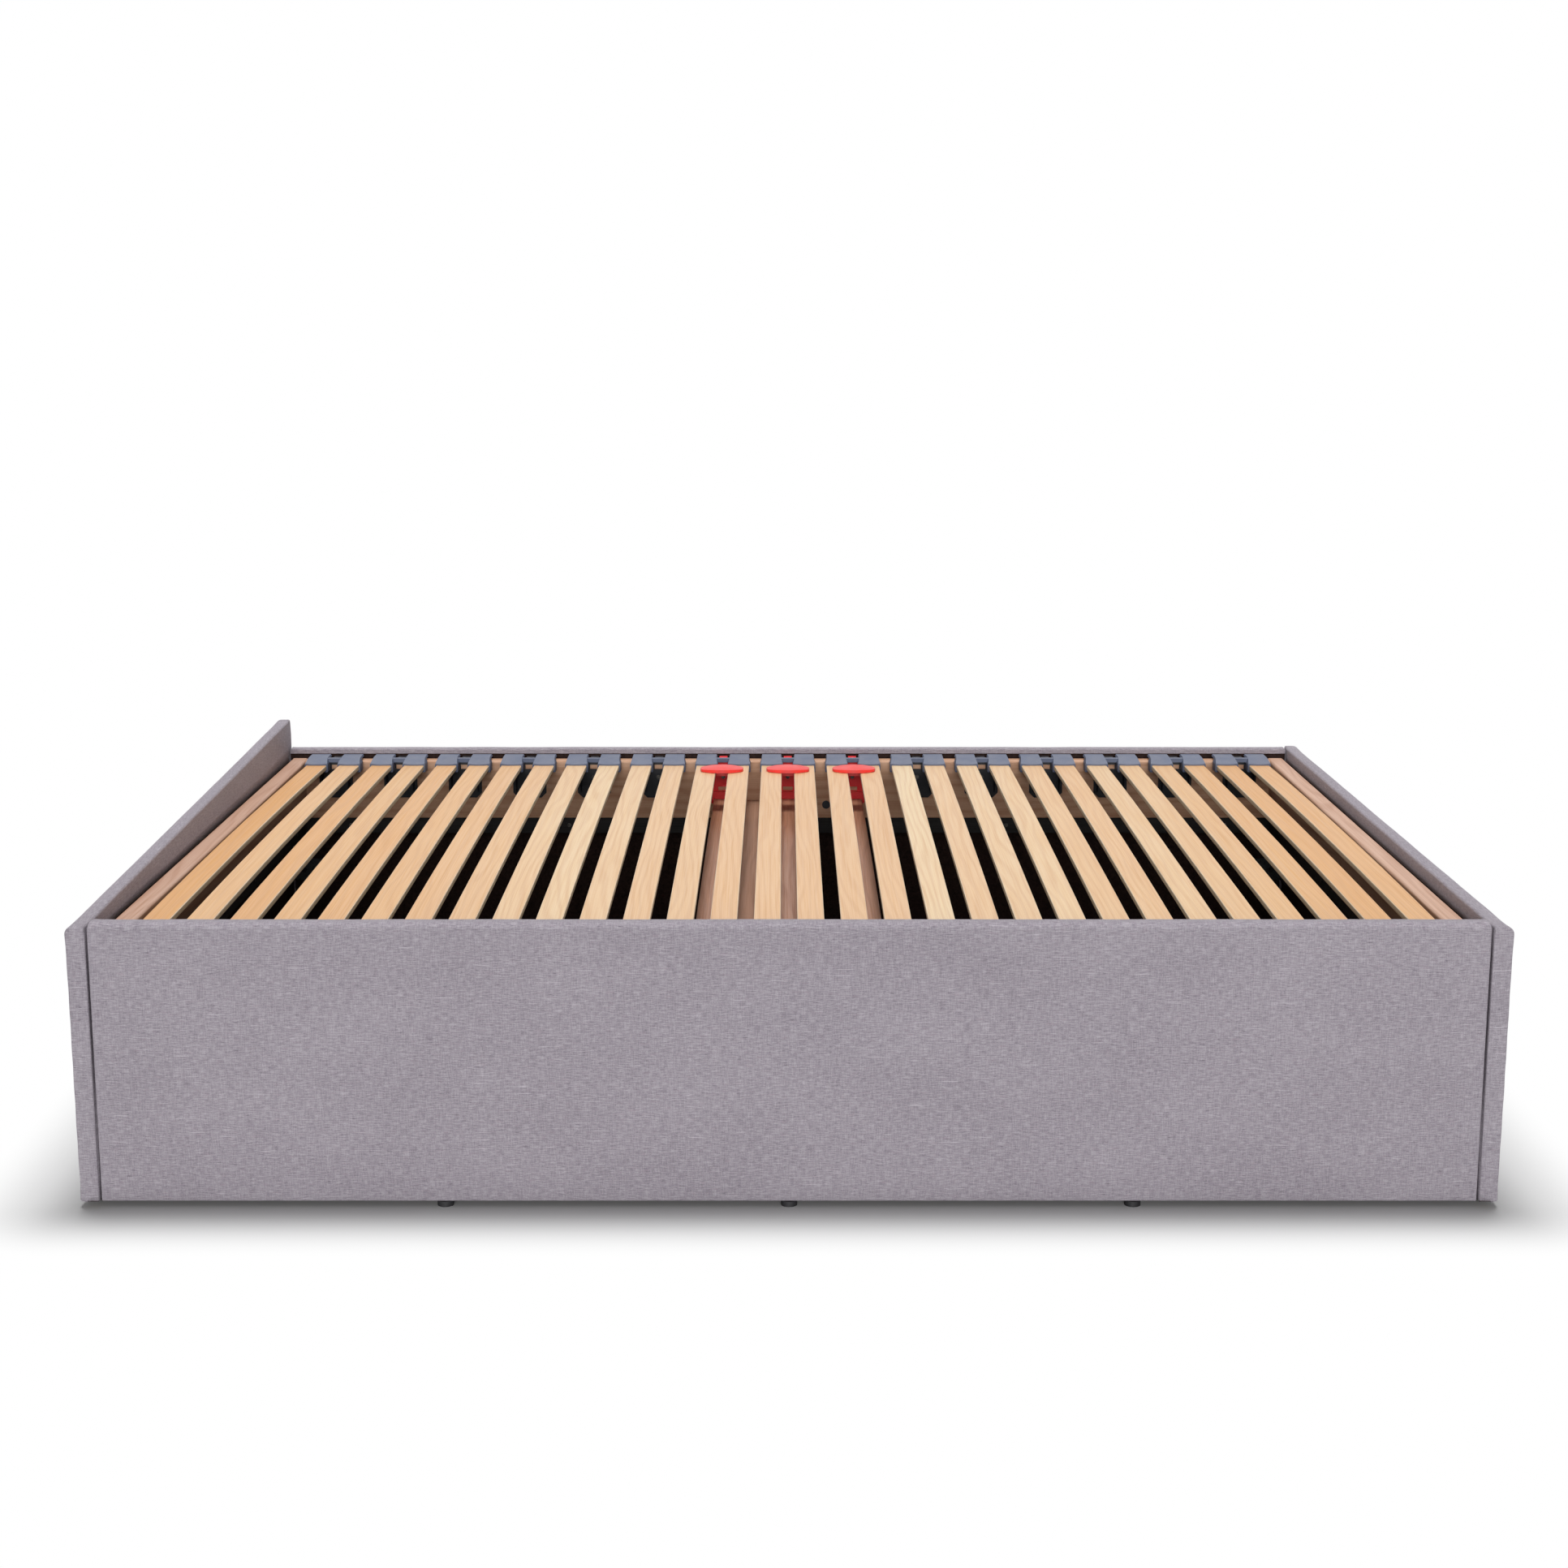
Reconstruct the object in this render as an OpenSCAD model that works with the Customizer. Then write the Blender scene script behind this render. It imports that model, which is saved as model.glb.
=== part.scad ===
// Upholstered double bed with a sprung slatted base.
// A box of four padded panels stands on hidden glides and holds a wooden
// slatted base. The slats lie in pairs. Each pair has a moulded twin cap at
// both ends, and each twin cap rocks on the pin of a holder that hooks over
// the side rail. The three middle pairs each carry a slider that sets the
// firmness, and stand over a second, lower row of reinforcement slats.
// Millimetres. The origin is on the floor, under the middle of the bed.
// +X runs from the head to the foot, and -Y is the side that is seen first.

/* [Mattress] */
// Length of the mattress that the bed takes
mattress_l = 2000; // [1900:10:2200]
// Width of the mattress that the bed takes
mattress_w = 1400; // [1200:10:1800]
// Gap between the mattress and each panel
mattress_gap = 5; // [2:1:15]

/* [Upholstered panels] */
// Height of the panels, without the glides
panel_h = 415; // [340:1:480]
// How much higher the padded top of the front rail is than the other panels
front_roll = 7; // [0:1:10]
// How far the top of the head panel climbs from the front to the rear
head_rise = 54; // [0:1:120]
// Thickness of the board inside each panel
board_t = 18; // [15:1:25]
// Thickness of the foam on the outer face
foam_t = 9; // [6:1:20]
// Thickness of the foam on the top edge
top_foam_t = 5; // [3:0.5:8]
// Thickness of the woven cover
cover_t = 1.5; // [1:0.25:3]
// Radius of the outer padded top edge
edge_r = 12; // [5:0.5:13]
// Radius of the inner top edge, where the cover is pulled tight over the board
inner_edge_r = 4; // [3.5:0.5:6]
// How far the cover reaches down the inner face of a side panel
cover_inside = 12; // [12:1:100]
// How far the cover reaches down the inner face of an end panel
end_cover_inside = 28; // [12:1:100]
// Width of the hem that turns under the board
hem_w = 12; // [6:1:18]
// Gap at the seam between a side panel and an end panel
seam_gap = 1; // [0.5:0.25:3]

/* [Glides and lining] */
// Height of the glides under the panels
glide_h = 8; // [6:1:40]
// Radius of a glide
glide_r = 12; // [8:1:14]
// Radius of the stem that holds a glide in the board
glide_stem_r = 4; // [2:0.5:6]
// Length of the stem that holds a glide in the board
glide_stem_l = 22; // [12:1:40]
// Thickness of the lining sheet under the bed
lining_t = 1.5; // [1:0.25:1.5]

/* [Ledge and corner fittings] */
// Width of the battens that carry the slatted base
batten_w = 36; // [20:1:50]
// Height of the battens that carry the slatted base
batten_h = 32; // [20:1:45]
// Length of each leg of a corner bracket
bracket_leg = 60; // [40:1:90]
// Height of a corner bracket
bracket_h = 44; // [24:1:70]
// Thickness of a corner bracket
bracket_t = 4; // [2:0.5:6]
// Height of the lower edge of the corner brackets above the floor
bracket_z = 150; // [60:5:180]
// Shank radius of the corner bolts
bolt_r = 3; // [2:0.5:4]
// Shank radius of the bolts that hold the side rails of the base
rail_bolt_r = 4; // [2.5:0.5:5]
// Place of the middle rail bolt, towards the foot
rail_bolt_x = 77; // [50:1:90]
// Shank radius of the wood screws
screw_r = 1.8; // [1.2:0.1:2]

/* [Slatted base] */
// Gap between the slatted base and the panels
base_gap = 8; // [5:0.5:20]
// Thickness of the side rails
rail_t = 30; // [22:1:40]
// Thickness of the end rails
end_rail_t = 32; // [20:1:45]
// Height of the rails
rail_h = 116; // [100:1:140]
// How far the top of the rails lies below the top of the panels
rail_drop = 20; // [16:0.5:40]
// Radius of the upper edges of the rails
rail_edge_r = 5; // [2:0.5:9]
// Width of the cross brace
brace_w = 45; // [30:1:60]
// Height of the cross brace
brace_h = 36; // [20:1:50]

/* [Slats] */
// Width of a slat
slat_w = 40; // [34:0.5:44]
// Thickness of a slat
slat_t = 10; // [8:0.5:12]
// Radius of the long edges of a slat
slat_edge_r = 2; // [0.5:0.25:3]
// How much higher a slat is in its middle than at its ends
slat_crown = 6; // [3:0.5:9]
// How much higher the middle of a slat is than the rails
slat_rise = 3; // [1:0.5:5]
// Width of a reinforcement slat
low_slat_w = 38; // [28:0.5:44]
// Thickness of a reinforcement slat
low_slat_t = 8; // [6:0.5:10]
// How far the ends of the reinforcement slats lie below the top of the rails
low_slat_drop = 74.5; // [72:0.5:84]

/* [Twin caps] */
// Wall of a cap beside its slat
cap_wall = 2.5; // [2:0.25:3.5]
// Wall of a cap under its slat
cap_floor = 3; // [2:0.25:5]
// Thickness of the lip over the slat at the mouth of a cap
cap_lip = 2.7; // [1.5:0.1:4]
// How deep a slat sits in its cap
cap_grip = 29; // [20:0.5:36]
// Wall between the end of a slat and the holder
cap_back = 3.4; // [2:0.2:6]
// How far the mouth of a cap bulges towards the middle of the slat
cap_bulge = 2.5; // [1:0.25:5]
// How much narrower each side of a cap is at its top
cap_shoulder = 4; // [1:0.25:6]
// Length of the tongue that a cap lays over the rail
tongue_l = 29; // [10:0.5:29]
// Thickness of the tongue
tongue_t = 4; // [2.5:0.25:5]
// Room that is left between the tongue and the rail when the caps rock fully
rock_room = 0.7; // [0.4:0.1:2]
// Depth of the bridge that joins the two caps, along the slats
bridge_d = 10; // [6:0.5:12]
// Height of the bridge that joins the two caps
bridge_h = 8; // [7:0.25:9]
// Clearance round a slat in its cap or pocket
slat_fit = 0.15; // [0.1:0.05:0.3]
// Gap between the outermost cap and the end rail
end_gap = 5.8; // [3:0.1:12]

/* [Holders] */
// Width of the plate of a holder
plate_w = 66; // [56:1:80]
// Height of the plate of a holder
plate_h = 56; // [44:1:66]
// Thickness of the plate of a holder
plate_t = 4; // [3:0.25:6]
// Width of the saddle that hooks over the rail
saddle_w = 16; // [10:0.5:16.5]
// Thickness of the saddle over the rail
saddle_t = 4; // [2.5:0.25:4.5]
// Length of the hook behind the rail
hook_l = 18; // [8:1:40]
// Thickness of the hook behind the rail
hook_t = 3; // [2:0.25:4]
// Height of the window below the head of a holder
window_h = 9; // [4:0.5:9]
// Radius of the pin that a twin cap rocks on
pin_r = 2.5; // [2:0.1:3]
// Radial clearance of the pin in the bridge
pin_fit = 0.05; // [0.02:0.01:0.1]
// Gap between the bridge and the boss of the holder
side_play = 0.5; // [0.3:0.1:1]
// Gap between the end of the pin and the bottom of its bore
pin_end_play = 0.3; // [0.2:0.1:1]
// How far a twin cap rocks to each side, in degrees
rock_angle = 5; // [2:0.5:5]

/* [Firmness sliders] */
// Width of a slider, across the pair of slats
slider_w = 84; // [60:1:92]
// Depth of a slider, along the slats
slider_d = 66; // [50:1:70]
// Height of the dome of a slider
slider_h = 9; // [7:0.5:10]
// How far a slider travels in all
slider_travel = 350; // [100:10:500]
// How much of its travel lies towards the rear caps
slider_back = 25; // [0:1:60]
// Gap between the dome of a slider and the slats at both ends of its travel
slider_lift = 0.8; // [0.8:0.05:1]
// Width of the foot of a slider under the slats
slider_foot_w = 48; // [34:1:60]

/* [Hidden] */
$fn = 48;

// Small overlap that keeps a cutter clear of the face that it cuts through
over = 1;
// Clearance of a screw, bolt or stem in its hole
hole_fit = 0.05;
// Number of pairs of slats, and the pairs that have sliders
pair_count = 15;
middle_pair = 8;
adjusted = [7, 8, 9];

// Panels
panel_t = board_t + foam_t + 2 * cover_t;
inner_l = mattress_l + 2 * mattress_gap;
inner_w = mattress_w + 2 * mattress_gap;
outer_l = inner_l + 2 * panel_t;
outer_w = inner_w + 2 * panel_t;
rail_len = inner_l - 2 * seam_gap;
panel_top = glide_h + panel_h;
board_face_x = inner_l / 2 + cover_t;
board_face_y = inner_w / 2 + cover_t;
board_mid = -panel_t / 2 + cover_t + board_t / 2;
end_wrap = panel_t - 2 * cover_t - seam_gap;

// Slatted base
base_l = inner_l - 2 * base_gap;
base_w = inner_w - 2 * base_gap;
rail_in = base_w / 2 - rail_t;
end_in = base_l / 2 - end_rail_t;
rail_top = panel_top - rail_drop;
rail_bottom = rail_top - rail_h;

// Slats and caps: n pairs fill the room between the end rails
cap_w = slat_w + 2 * cap_wall;
pair_pitch = (2 * end_in - cap_w - 2 * end_gap) / (pair_count - 0.5);
slat_pitch = pair_pitch / 2;
slat_gap = slat_pitch - slat_w;
cap_gap = slat_pitch - cap_w;
plate_y = rail_in - plate_t;
block_end = plate_y - side_play;
slat_half = block_end - cap_back;
cap_mouth = slat_half - cap_grip;
slat_top = rail_top + slat_rise;
slat_radius = slat_half * slat_half / (2 * slat_crown);
pivot_rise = 4;
pivot_z = rail_top + pivot_rise;
lip_z = slat_height(cap_mouth) + cap_lip;
tongue_z = rail_top + rock_room + (slat_pitch + cap_w) / 2 * sin(rock_angle);
cap_bottom = slat_height(slat_half) - slat_t - cap_floor;
cap_top = tongue_z + tongue_t;
shoulder_z = lip_z - 1;
bridge_set = 2.5;
bridge_y = block_end - bridge_set;
bridge_front = bridge_y - bridge_d;
bridge_w = cap_gap + 2 * cap_shoulder + 2 * over;
tongue_chamfer = 1;
climb_steps = 6;
arc_steps = 3600;

// Holders
header_h = 7;
header_z = rail_top - header_h;
shoulder_drop = 2;
plate_top = header_z - window_h - shoulder_drop;
plate_bottom = plate_top - plate_h;
screw_drop = 14;
screw_z = plate_top - screw_drop;
head_w = 32;
plate_corner = 10;
gusset_x = 26;
gusset_t = 3;
gusset_d = 12;
gusset_top = plate_top - 6;
gusset_bottom = plate_top - 0.85 * plate_h;
boss_r = 4;
bore_wall = 2;
bore_start = bridge_front + bore_wall;
pin_start = bore_start + pin_end_play;
counter_r = 5;
counter_depth = 2.5;
counter_y = plate_y + counter_depth;
screw_head_r = 3.8;
screw_head_h = 2.2;
holder_screw_l = 22;
holder_reach = holder_screw_l - plate_t + counter_depth;

// Reinforcement slats
low_end_play = 4;
low_half = rail_in - low_end_play;
low_end = rail_top - low_slat_drop;
low_radius = slat_radius;
low_top = low_end + low_half * low_half / (2 * low_radius);
pocket_wall = 2.6;
pocket_d = 17;
bar_h = 14;
pocket_bottom = low_end - low_slat_t - pocket_wall;
pocket_top = low_end + bar_h;
cutout_w = 20;
cutout_h = 8;
cutout_gap = 1;

// Sliders: each follows the chord of its slats, from the mouth of the rear cap inwards
slider_gap = 0.5;
slider_stop_y = cap_mouth - cap_bulge - slider_gap - slider_d / 2;
slider_end_y = slider_stop_y - slider_travel;
slider_climb = slat_height(slider_end_y) - slat_height(slider_stop_y);
slider_tilt = atan(slider_climb / slider_travel);
slider_y = slider_stop_y - slider_back * cos(slider_tilt);
slider_z = slat_height(slider_stop_y) + slider_lift + slider_back * sin(slider_tilt);
foot_gap = 0.5;
foot_t = 2.5;
neck_play = 0.8;
neck_start = 14;
neck_d = 16;
tip_h = 4.5;
tip_past = 7;

// Battens, brackets and their fixings
screw_margin = 90;
board_rest = 4;
batten_gap = 1;
long_screws = spread(inner_l, 5, screw_margin + batten_w);
short_screws = spread(inner_w, 4, screw_margin + batten_w);
batten_z = rail_bottom - batten_h;
batten_screw_l = batten_w + board_t - board_rest;
short_batten_l = 2 * (board_face_y - batten_w - batten_gap);
bracket_bolts = [bracket_leg * 0.4, bracket_leg * 0.8];
corner_bolt_l = bracket_t + board_t - board_rest;
bolt_head_h = 4;
rail_bolt_drop = 15;
rail_bolt_z = plate_bottom - rail_bolt_drop;
outer_bolt_x = 5.25 * pair_pitch;
rail_bolts = [-outer_bolt_x, rail_bolt_x, outer_bolt_x];
rail_bolt_l = rail_t + base_gap + cover_t + board_t - board_rest;

// Glides and lining
rail_glides = [-inner_l / 4, 0, inner_l / 4];
end_glide_y = outer_w / 2 - 45;
lining_gap = 1;
lining_l = outer_l - 2 * (hem_w + lining_gap);
lining_w = outer_w - 2 * (hem_w + lining_gap);

// The front rail is padded higher than its board, and the head panel climbs to the rear
front_h = panel_h + front_roll;
rear_head_h = panel_h + head_rise;

echo(outer_l = outer_l, outer_w = outer_w, panel_top = panel_top, pair_pitch = pair_pitch);
echo(pivot_z = pivot_z, slider_y = slider_y, slider_tilt = slider_tilt, rail_in = rail_in);
echo(slat_half = slat_half, cap_mouth = cap_mouth, slat_top = slat_top, low_top = low_top);
echo(rail_top = rail_top, cap_top = cap_top, slider_z = slider_z, low_end = low_end);

// Height of the upper face of a sprung slat at a distance y from its middle
function slat_height(y) = slat_top - y * y / (2 * slat_radius);
// Place of a pair along the bed, counted from the head
function pair_x(number) = (number - middle_pair) * pair_pitch;
function is_adjusted(number) = len(search(number, adjusted)) > 0;

// Places along a length, n of them, the outer ones `margin` from its ends
function spread(length, n, margin) =
    [for (i = [0:n - 1]) -length / 2 + margin + i * (length - 2 * margin) / (n - 1)];

// What is at the rear is also at the front, and what is at the foot is also at the head
module both_sides() {
    children();
    mirror([0, 1, 0]) children();
}
module both_ends() {
    children();
    mirror([1, 0, 0]) children();
}
module four_corners() { both_sides() both_ends() children(); }

// A round hole or shank that starts at `start` and runs outwards
module along_y(r, start, length) {
    translate([0, start, 0]) rotate([-90, 0, 0]) cylinder(r = r, h = length);
}
module along_x(r, start, length) {
    translate([start, 0, 0]) rotate([0, 90, 0]) cylinder(r = r, h = length);
}

// Flat plate with its lower edge on z = 0 and an upper edge that climbs along x.
// `inset` cuts both ends back, and leaves the slope of the upper edge as it is
module plate(length, thick, h_start, h_end, inset = 0) {
    half = length / 2 - inset;
    climb = inset * (h_end - h_start) / length;
    rotate([90, 0, 0])
        linear_extrude(thick, center = true)
            polygon([[-half, 0], [half, 0], [half, h_end - climb], [-half, h_start + climb]]);
}

// Section of a plate with rounded upper corners, its top at y = 0 and its outer face at x > 0
module round_top_section(thick, depth, outer_r, inner_r) {
    translate([0, -depth]) square([thick / 2, depth - outer_r]);
    translate([-thick / 2, -depth]) square([thick / 2, depth - inner_r]);
    translate([inner_r - thick / 2, -depth]) square([thick - outer_r - inner_r, depth]);
    translate([thick / 2 - outer_r, -outer_r]) circle(outer_r);
    translate([inner_r - thick / 2, -inner_r]) circle(inner_r);
}

// The same plate with its two long upper edges rounded
module soft_plate(length, thick, h_start, h_end, outer_r, inner_r) {
    rake = atan((h_end - h_start) / length);
    tall = max(h_start, h_end);
    intersection() {
        translate([-length / 2, -thick / 2 - over, 0]) cube([length, thick + 2 * over, tall + over]);
        translate([0, 0, (h_start + h_end) / 2])
            rotate([0, -rake, 0])
                rotate([90, 0, 90])
                    linear_extrude(length * 1.2, center = true)
                        round_top_section(thick, tall * 1.2 + head_rise, outer_r, inner_r);
    }
}

// Board of a panel, local +y being the outer face of the panel
module board_shape(length, h_start, h_end) {
    top = 2 * cover_t + top_foam_t;
    translate([0, board_mid, cover_t])
        plate(length, board_t, h_start - top, h_end - top, cover_t);
}

// Foam over the outer face and the top edge of the board, `roll` thicker on the top
module foam_shape(length, h_start, h_end, roll = 0) {
    top = cover_t + top_foam_t;
    difference() {
        translate([0, 0, cover_t])
            soft_plate(length - 2 * cover_t, board_t + foam_t, h_start + roll - 2 * cover_t,
                h_end + roll - 2 * cover_t, edge_r - cover_t, inner_edge_r - cover_t);
        translate([0, board_mid - over / 2, 0])
            plate(length, board_t + over, h_start - top, h_end - top);
    }
}

// Woven cover: over the outer face, the top and the ends, and `inside` down the inner face.
// `wrap` is how far it stays on the inner face beside both ends
module cover_shape(length, h_start, h_end, inside, wrap = -over) {
    inside_end = min(h_start, h_end) - inside;
    bare_l = length - 2 * wrap;
    difference() {
        soft_plate(length, panel_t, h_start, h_end, edge_r, inner_edge_r);
        translate([0, 0, cover_t])
            soft_plate(length - 2 * cover_t, board_t + foam_t, h_start - 2 * cover_t,
                h_end - 2 * cover_t, edge_r - cover_t, inner_edge_r - cover_t);
        translate([-bare_l / 2, -panel_t / 2 - over, -over])
            cube([bare_l, over + cover_t, inside_end + over]);
        translate([-length / 2 - over, -panel_t / 2 - over, -over])
            cube([length + 2 * over, panel_t - hem_w + over, over + cover_t]);
    }
}

// Places of the four panels. Each child has its outer face towards local +y
module at_front() { translate([0, -(inner_w + panel_t) / 2, glide_h]) rotate([0, 0, 180]) children(); }
module at_rear() { translate([0, (inner_w + panel_t) / 2, glide_h]) children(); }
module at_head() { translate([-(inner_l + panel_t) / 2, 0, glide_h]) rotate([0, 0, 90]) children(); }
module at_foot() { translate([(inner_l + panel_t) / 2, 0, glide_h]) rotate([0, 0, -90]) children(); }

// Holes of all the fixings in the boards
module board_holes() {
    batten_fixings(screw_r + hole_fit, hole_fit);
    corner_fixings(bolt_r + hole_fit, hole_fit);
    rail_fixings(rail_bolt_r + hole_fit, hole_fit);
    stem_holes();
}

// Holes of the glide stems, in the boards, the hems and the lining
module stem_holes() {
    glide_places() translate([0, 0, glide_h - over])
        cylinder(r = glide_stem_r + hole_fit, h = glide_stem_l + over + hole_fit);
}

module front_rail_board() color("#3A332E") difference() {
    at_front() board_shape(rail_len, panel_h, panel_h);
    board_holes();
}
module front_rail_foam() color("Ivory") at_front() foam_shape(rail_len, panel_h, panel_h, front_roll);
module front_rail_cover() color("#A9A1AA") difference() {
    at_front() cover_shape(rail_len, front_h, front_h, front_roll + cover_inside);
    stem_holes();
}

module rear_rail_board() color("#3A332E") difference() {
    at_rear() board_shape(rail_len, panel_h, panel_h);
    board_holes();
}
module rear_rail_foam() color("Ivory") at_rear() foam_shape(rail_len, panel_h, panel_h);
module rear_rail_cover() color("#A9A1AA") difference() {
    at_rear() cover_shape(rail_len, panel_h, panel_h, cover_inside);
    stem_holes();
}

// The head panel climbs towards the rear
module head_panel_board() color("#3A332E") difference() {
    at_head() board_shape(outer_w, panel_h, rear_head_h);
    board_holes();
}
module head_panel_foam() color("Ivory") at_head() foam_shape(outer_w, panel_h, rear_head_h);
module head_panel_cover() color("#A9A1AA") difference() {
    at_head() cover_shape(outer_w, panel_h, rear_head_h, end_cover_inside, end_wrap);
    stem_holes();
}

module foot_panel_board() color("#3A332E") difference() {
    at_foot() board_shape(outer_w, panel_h, panel_h);
    board_holes();
}
module foot_panel_foam() color("Ivory") at_foot() foam_shape(outer_w, panel_h, panel_h);
module foot_panel_cover() color("#A9A1AA") difference() {
    at_foot() cover_shape(outer_w, panel_h, panel_h, end_cover_inside, end_wrap);
    stem_holes();
}

// Battens on the inner faces of the boards, under the rails of the slatted base
module ledge_battens() color("#241F1C") difference() {
    union() {
        both_sides() translate([-board_face_x + batten_gap, board_face_y - batten_w, batten_z])
            cube([2 * (board_face_x - batten_gap), batten_w, batten_h]);
        both_ends() translate([board_face_x - batten_w, -short_batten_l / 2, batten_z])
            cube([batten_w, short_batten_l, batten_h]);
    }
    batten_fixings(screw_r + hole_fit, over);
}

// Shanks of the batten screws, or their holes where `past` lengthens them
module batten_fixings(r, past = 0) {
    both_sides() for (x = long_screws)
        translate([x, 0, batten_z + batten_h / 2])
            along_y(r, board_face_y - batten_w - past, batten_screw_l + 2 * past);
    both_ends() for (y = short_screws)
        translate([0, y, batten_z + batten_h / 2])
            along_x(r, board_face_x - batten_w - past, batten_screw_l + 2 * past);
}

// Steel angles that join the boards in the four corners
module corner_brackets() color("#8A8D90") difference() {
    four_corners() translate([0, 0, bracket_z]) {
        translate([board_face_x - bracket_leg, board_face_y - bracket_t, 0])
            cube([bracket_leg, bracket_t, bracket_h]);
        translate([board_face_x - bracket_t, board_face_y - bracket_leg, 0])
            cube([bracket_t, bracket_leg, bracket_h]);
    }
    corner_fixings(bolt_r + hole_fit, over);
}

// Shanks of the corner bolts, or their holes
module corner_fixings(r, past = 0) {
    four_corners() for (d = bracket_bolts) translate([0, 0, bracket_z + bracket_h / 2]) {
        translate([board_face_x - d, 0, 0])
            along_y(r, board_face_y - bracket_t - past, corner_bolt_l + 2 * past);
        translate([0, board_face_y - d, 0])
            along_x(r, board_face_x - bracket_t - past, corner_bolt_l + 2 * past);
    }
}

// Shanks of the rail bolts, or their holes
module rail_fixings(r, past = 0) {
    both_sides() for (x = rail_bolts)
        translate([x, 0, rail_bolt_z]) along_y(r, rail_in - past, rail_bolt_l + 2 * past);
}

// Hexagon bolts of the corner brackets, and round bolts of the side rails
module bolts() color("#3A3B3E") {
    corner_fixings(bolt_r);
    four_corners() for (d = bracket_bolts) translate([0, 0, bracket_z + bracket_h / 2]) {
        translate([board_face_x - d, 0, 0])
            along_y(2 * bolt_r, board_face_y - bracket_t - bolt_head_h, bolt_head_h, $fn = 6);
        translate([0, board_face_y - d, 0])
            along_x(2 * bolt_r, board_face_x - bracket_t - bolt_head_h, bolt_head_h, $fn = 6);
    }
    rail_fixings(rail_bolt_r);
    both_sides() for (x = rail_bolts)
        translate([x, 0, rail_bolt_z]) along_y(2 * rail_bolt_r, rail_in - bolt_head_h, bolt_head_h);
}

// Screws of the battens and of the slat holders
module wood_screws() color("Silver") {
    batten_fixings(screw_r);
    both_sides() for (x = long_screws)
        translate([x, 0, batten_z + batten_h / 2])
            along_y(screw_head_r, board_face_y - batten_w - screw_head_h, screw_head_h);
    both_ends() for (y = short_screws)
        translate([0, y, batten_z + batten_h / 2])
            along_x(screw_head_r, board_face_x - batten_w - screw_head_h, screw_head_h);
    both_sides() for (number = [1:pair_count])
        translate([pair_x(number), 0, screw_z]) {
            along_y(screw_r, counter_y, holder_screw_l);
            along_y(screw_head_r, counter_y - screw_head_h, screw_head_h);
        }
}

// One glide: a disc under the board, and a stem that is driven into it
module glide() {
    cylinder(r = glide_r, h = glide_h);
    cylinder(r = glide_stem_r, h = glide_h + glide_stem_l);
}
module glide_places() {
    both_sides() for (x = rail_glides) translate([x, (inner_w + panel_t) / 2, 0]) children();
    four_corners() translate([(inner_l + panel_t) / 2, end_glide_y, 0]) children();
}
module glides() color("#2B2B2D") glide_places() glide();

// Sheet of black lining across the underside, inside the hems
module bottom_lining() color("#17171A") difference() {
    translate([-lining_l / 2, -lining_w / 2, glide_h]) cube([lining_l, lining_w, lining_t]);
    stem_holes();
}

// Rails of the slatted base
module base_side_rails() color("#DDB892") difference() {
    both_sides() translate([0, rail_in + rail_t / 2, rail_bottom])
        soft_plate(2 * end_in, rail_t, rail_h, rail_h, rail_edge_r, rail_edge_r);
    both_sides() for (number = [1:pair_count])
        translate([pair_x(number), 0, screw_z])
            along_y(screw_r + hole_fit, rail_in - over, holder_reach + 2 * over);
    rail_fixings(rail_bolt_r + hole_fit, over);
}
module base_end_rails() color("#DDB892")
    both_ends() translate([end_in + end_rail_t / 2, 0, rail_bottom]) rotate([0, 0, 90])
        soft_plate(base_w, end_rail_t, rail_h, rail_h, rail_edge_r, rail_edge_r);

// Brace between the side rails, in the gap between two pairs of slats
module cross_brace() color("#B98E74")
    translate([-(pair_pitch + brace_w) / 2, -rail_in, rail_bottom]) cube([brace_w, 2 * rail_in, brace_h]);

// Face of a holder, as seen along the slats: a plate with a narrower head
module holder_face(bottom) {
    difference() {
        union() {
            polygon([
                [-plate_w / 2, plate_top], [-plate_w / 2, bottom + plate_corner],
                [-plate_w / 2 + plate_corner, bottom], [plate_w / 2 - plate_corner, bottom],
                [plate_w / 2, bottom + plate_corner], [plate_w / 2, plate_top]
            ]);
            translate([-head_w / 2, plate_top - over]) square([head_w, rail_top - plate_top + over]);
        }
        translate([-saddle_w / 2, header_z - window_h]) square([saddle_w, window_h]);
        translate([0, screw_z]) circle(screw_r + hole_fit);
    }
}

// One holder: plate and stiffening gussets, saddle and hook over the rail, and the pin on its boss
module holder(bottom) {
    difference() {
        union() {
            translate([0, rail_in, 0]) rotate([90, 0, 0]) linear_extrude(plate_t) holder_face(bottom);
            translate([-saddle_w / 2, plate_y, header_z])
                cube([saddle_w, plate_t, rail_top + saddle_t - header_z]);
            translate([-saddle_w / 2, plate_y, rail_top])
                cube([saddle_w, rail_t + plate_t + hook_t, saddle_t]);
            translate([-saddle_w / 2, rail_in + rail_t, rail_top + saddle_t - hook_l])
                cube([saddle_w, hook_t, hook_l]);
            for (side = [-1, 1]) translate([side * gusset_x, plate_y + over, 0])
                rotate([90, 0, 90]) linear_extrude(gusset_t, center = true)
                    polygon([[0, gusset_top], [-gusset_d - over, gusset_top], [0, gusset_bottom]]);
            translate([0, 0, pivot_z]) {
                along_y(boss_r, bridge_y + side_play, rail_in - bridge_y - side_play);
                along_y(pin_r, pin_start, plate_y - pin_start);
            }
        }
        translate([0, 0, screw_z]) along_y(counter_r, plate_y - over, counter_depth + over);
    }
}

module slat_holders() color("#1B1C20")
    both_sides() for (number = [1:pair_count]) if (!is_adjusted(number))
        translate([pair_x(number), 0, 0]) holder(plate_bottom);

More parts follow.
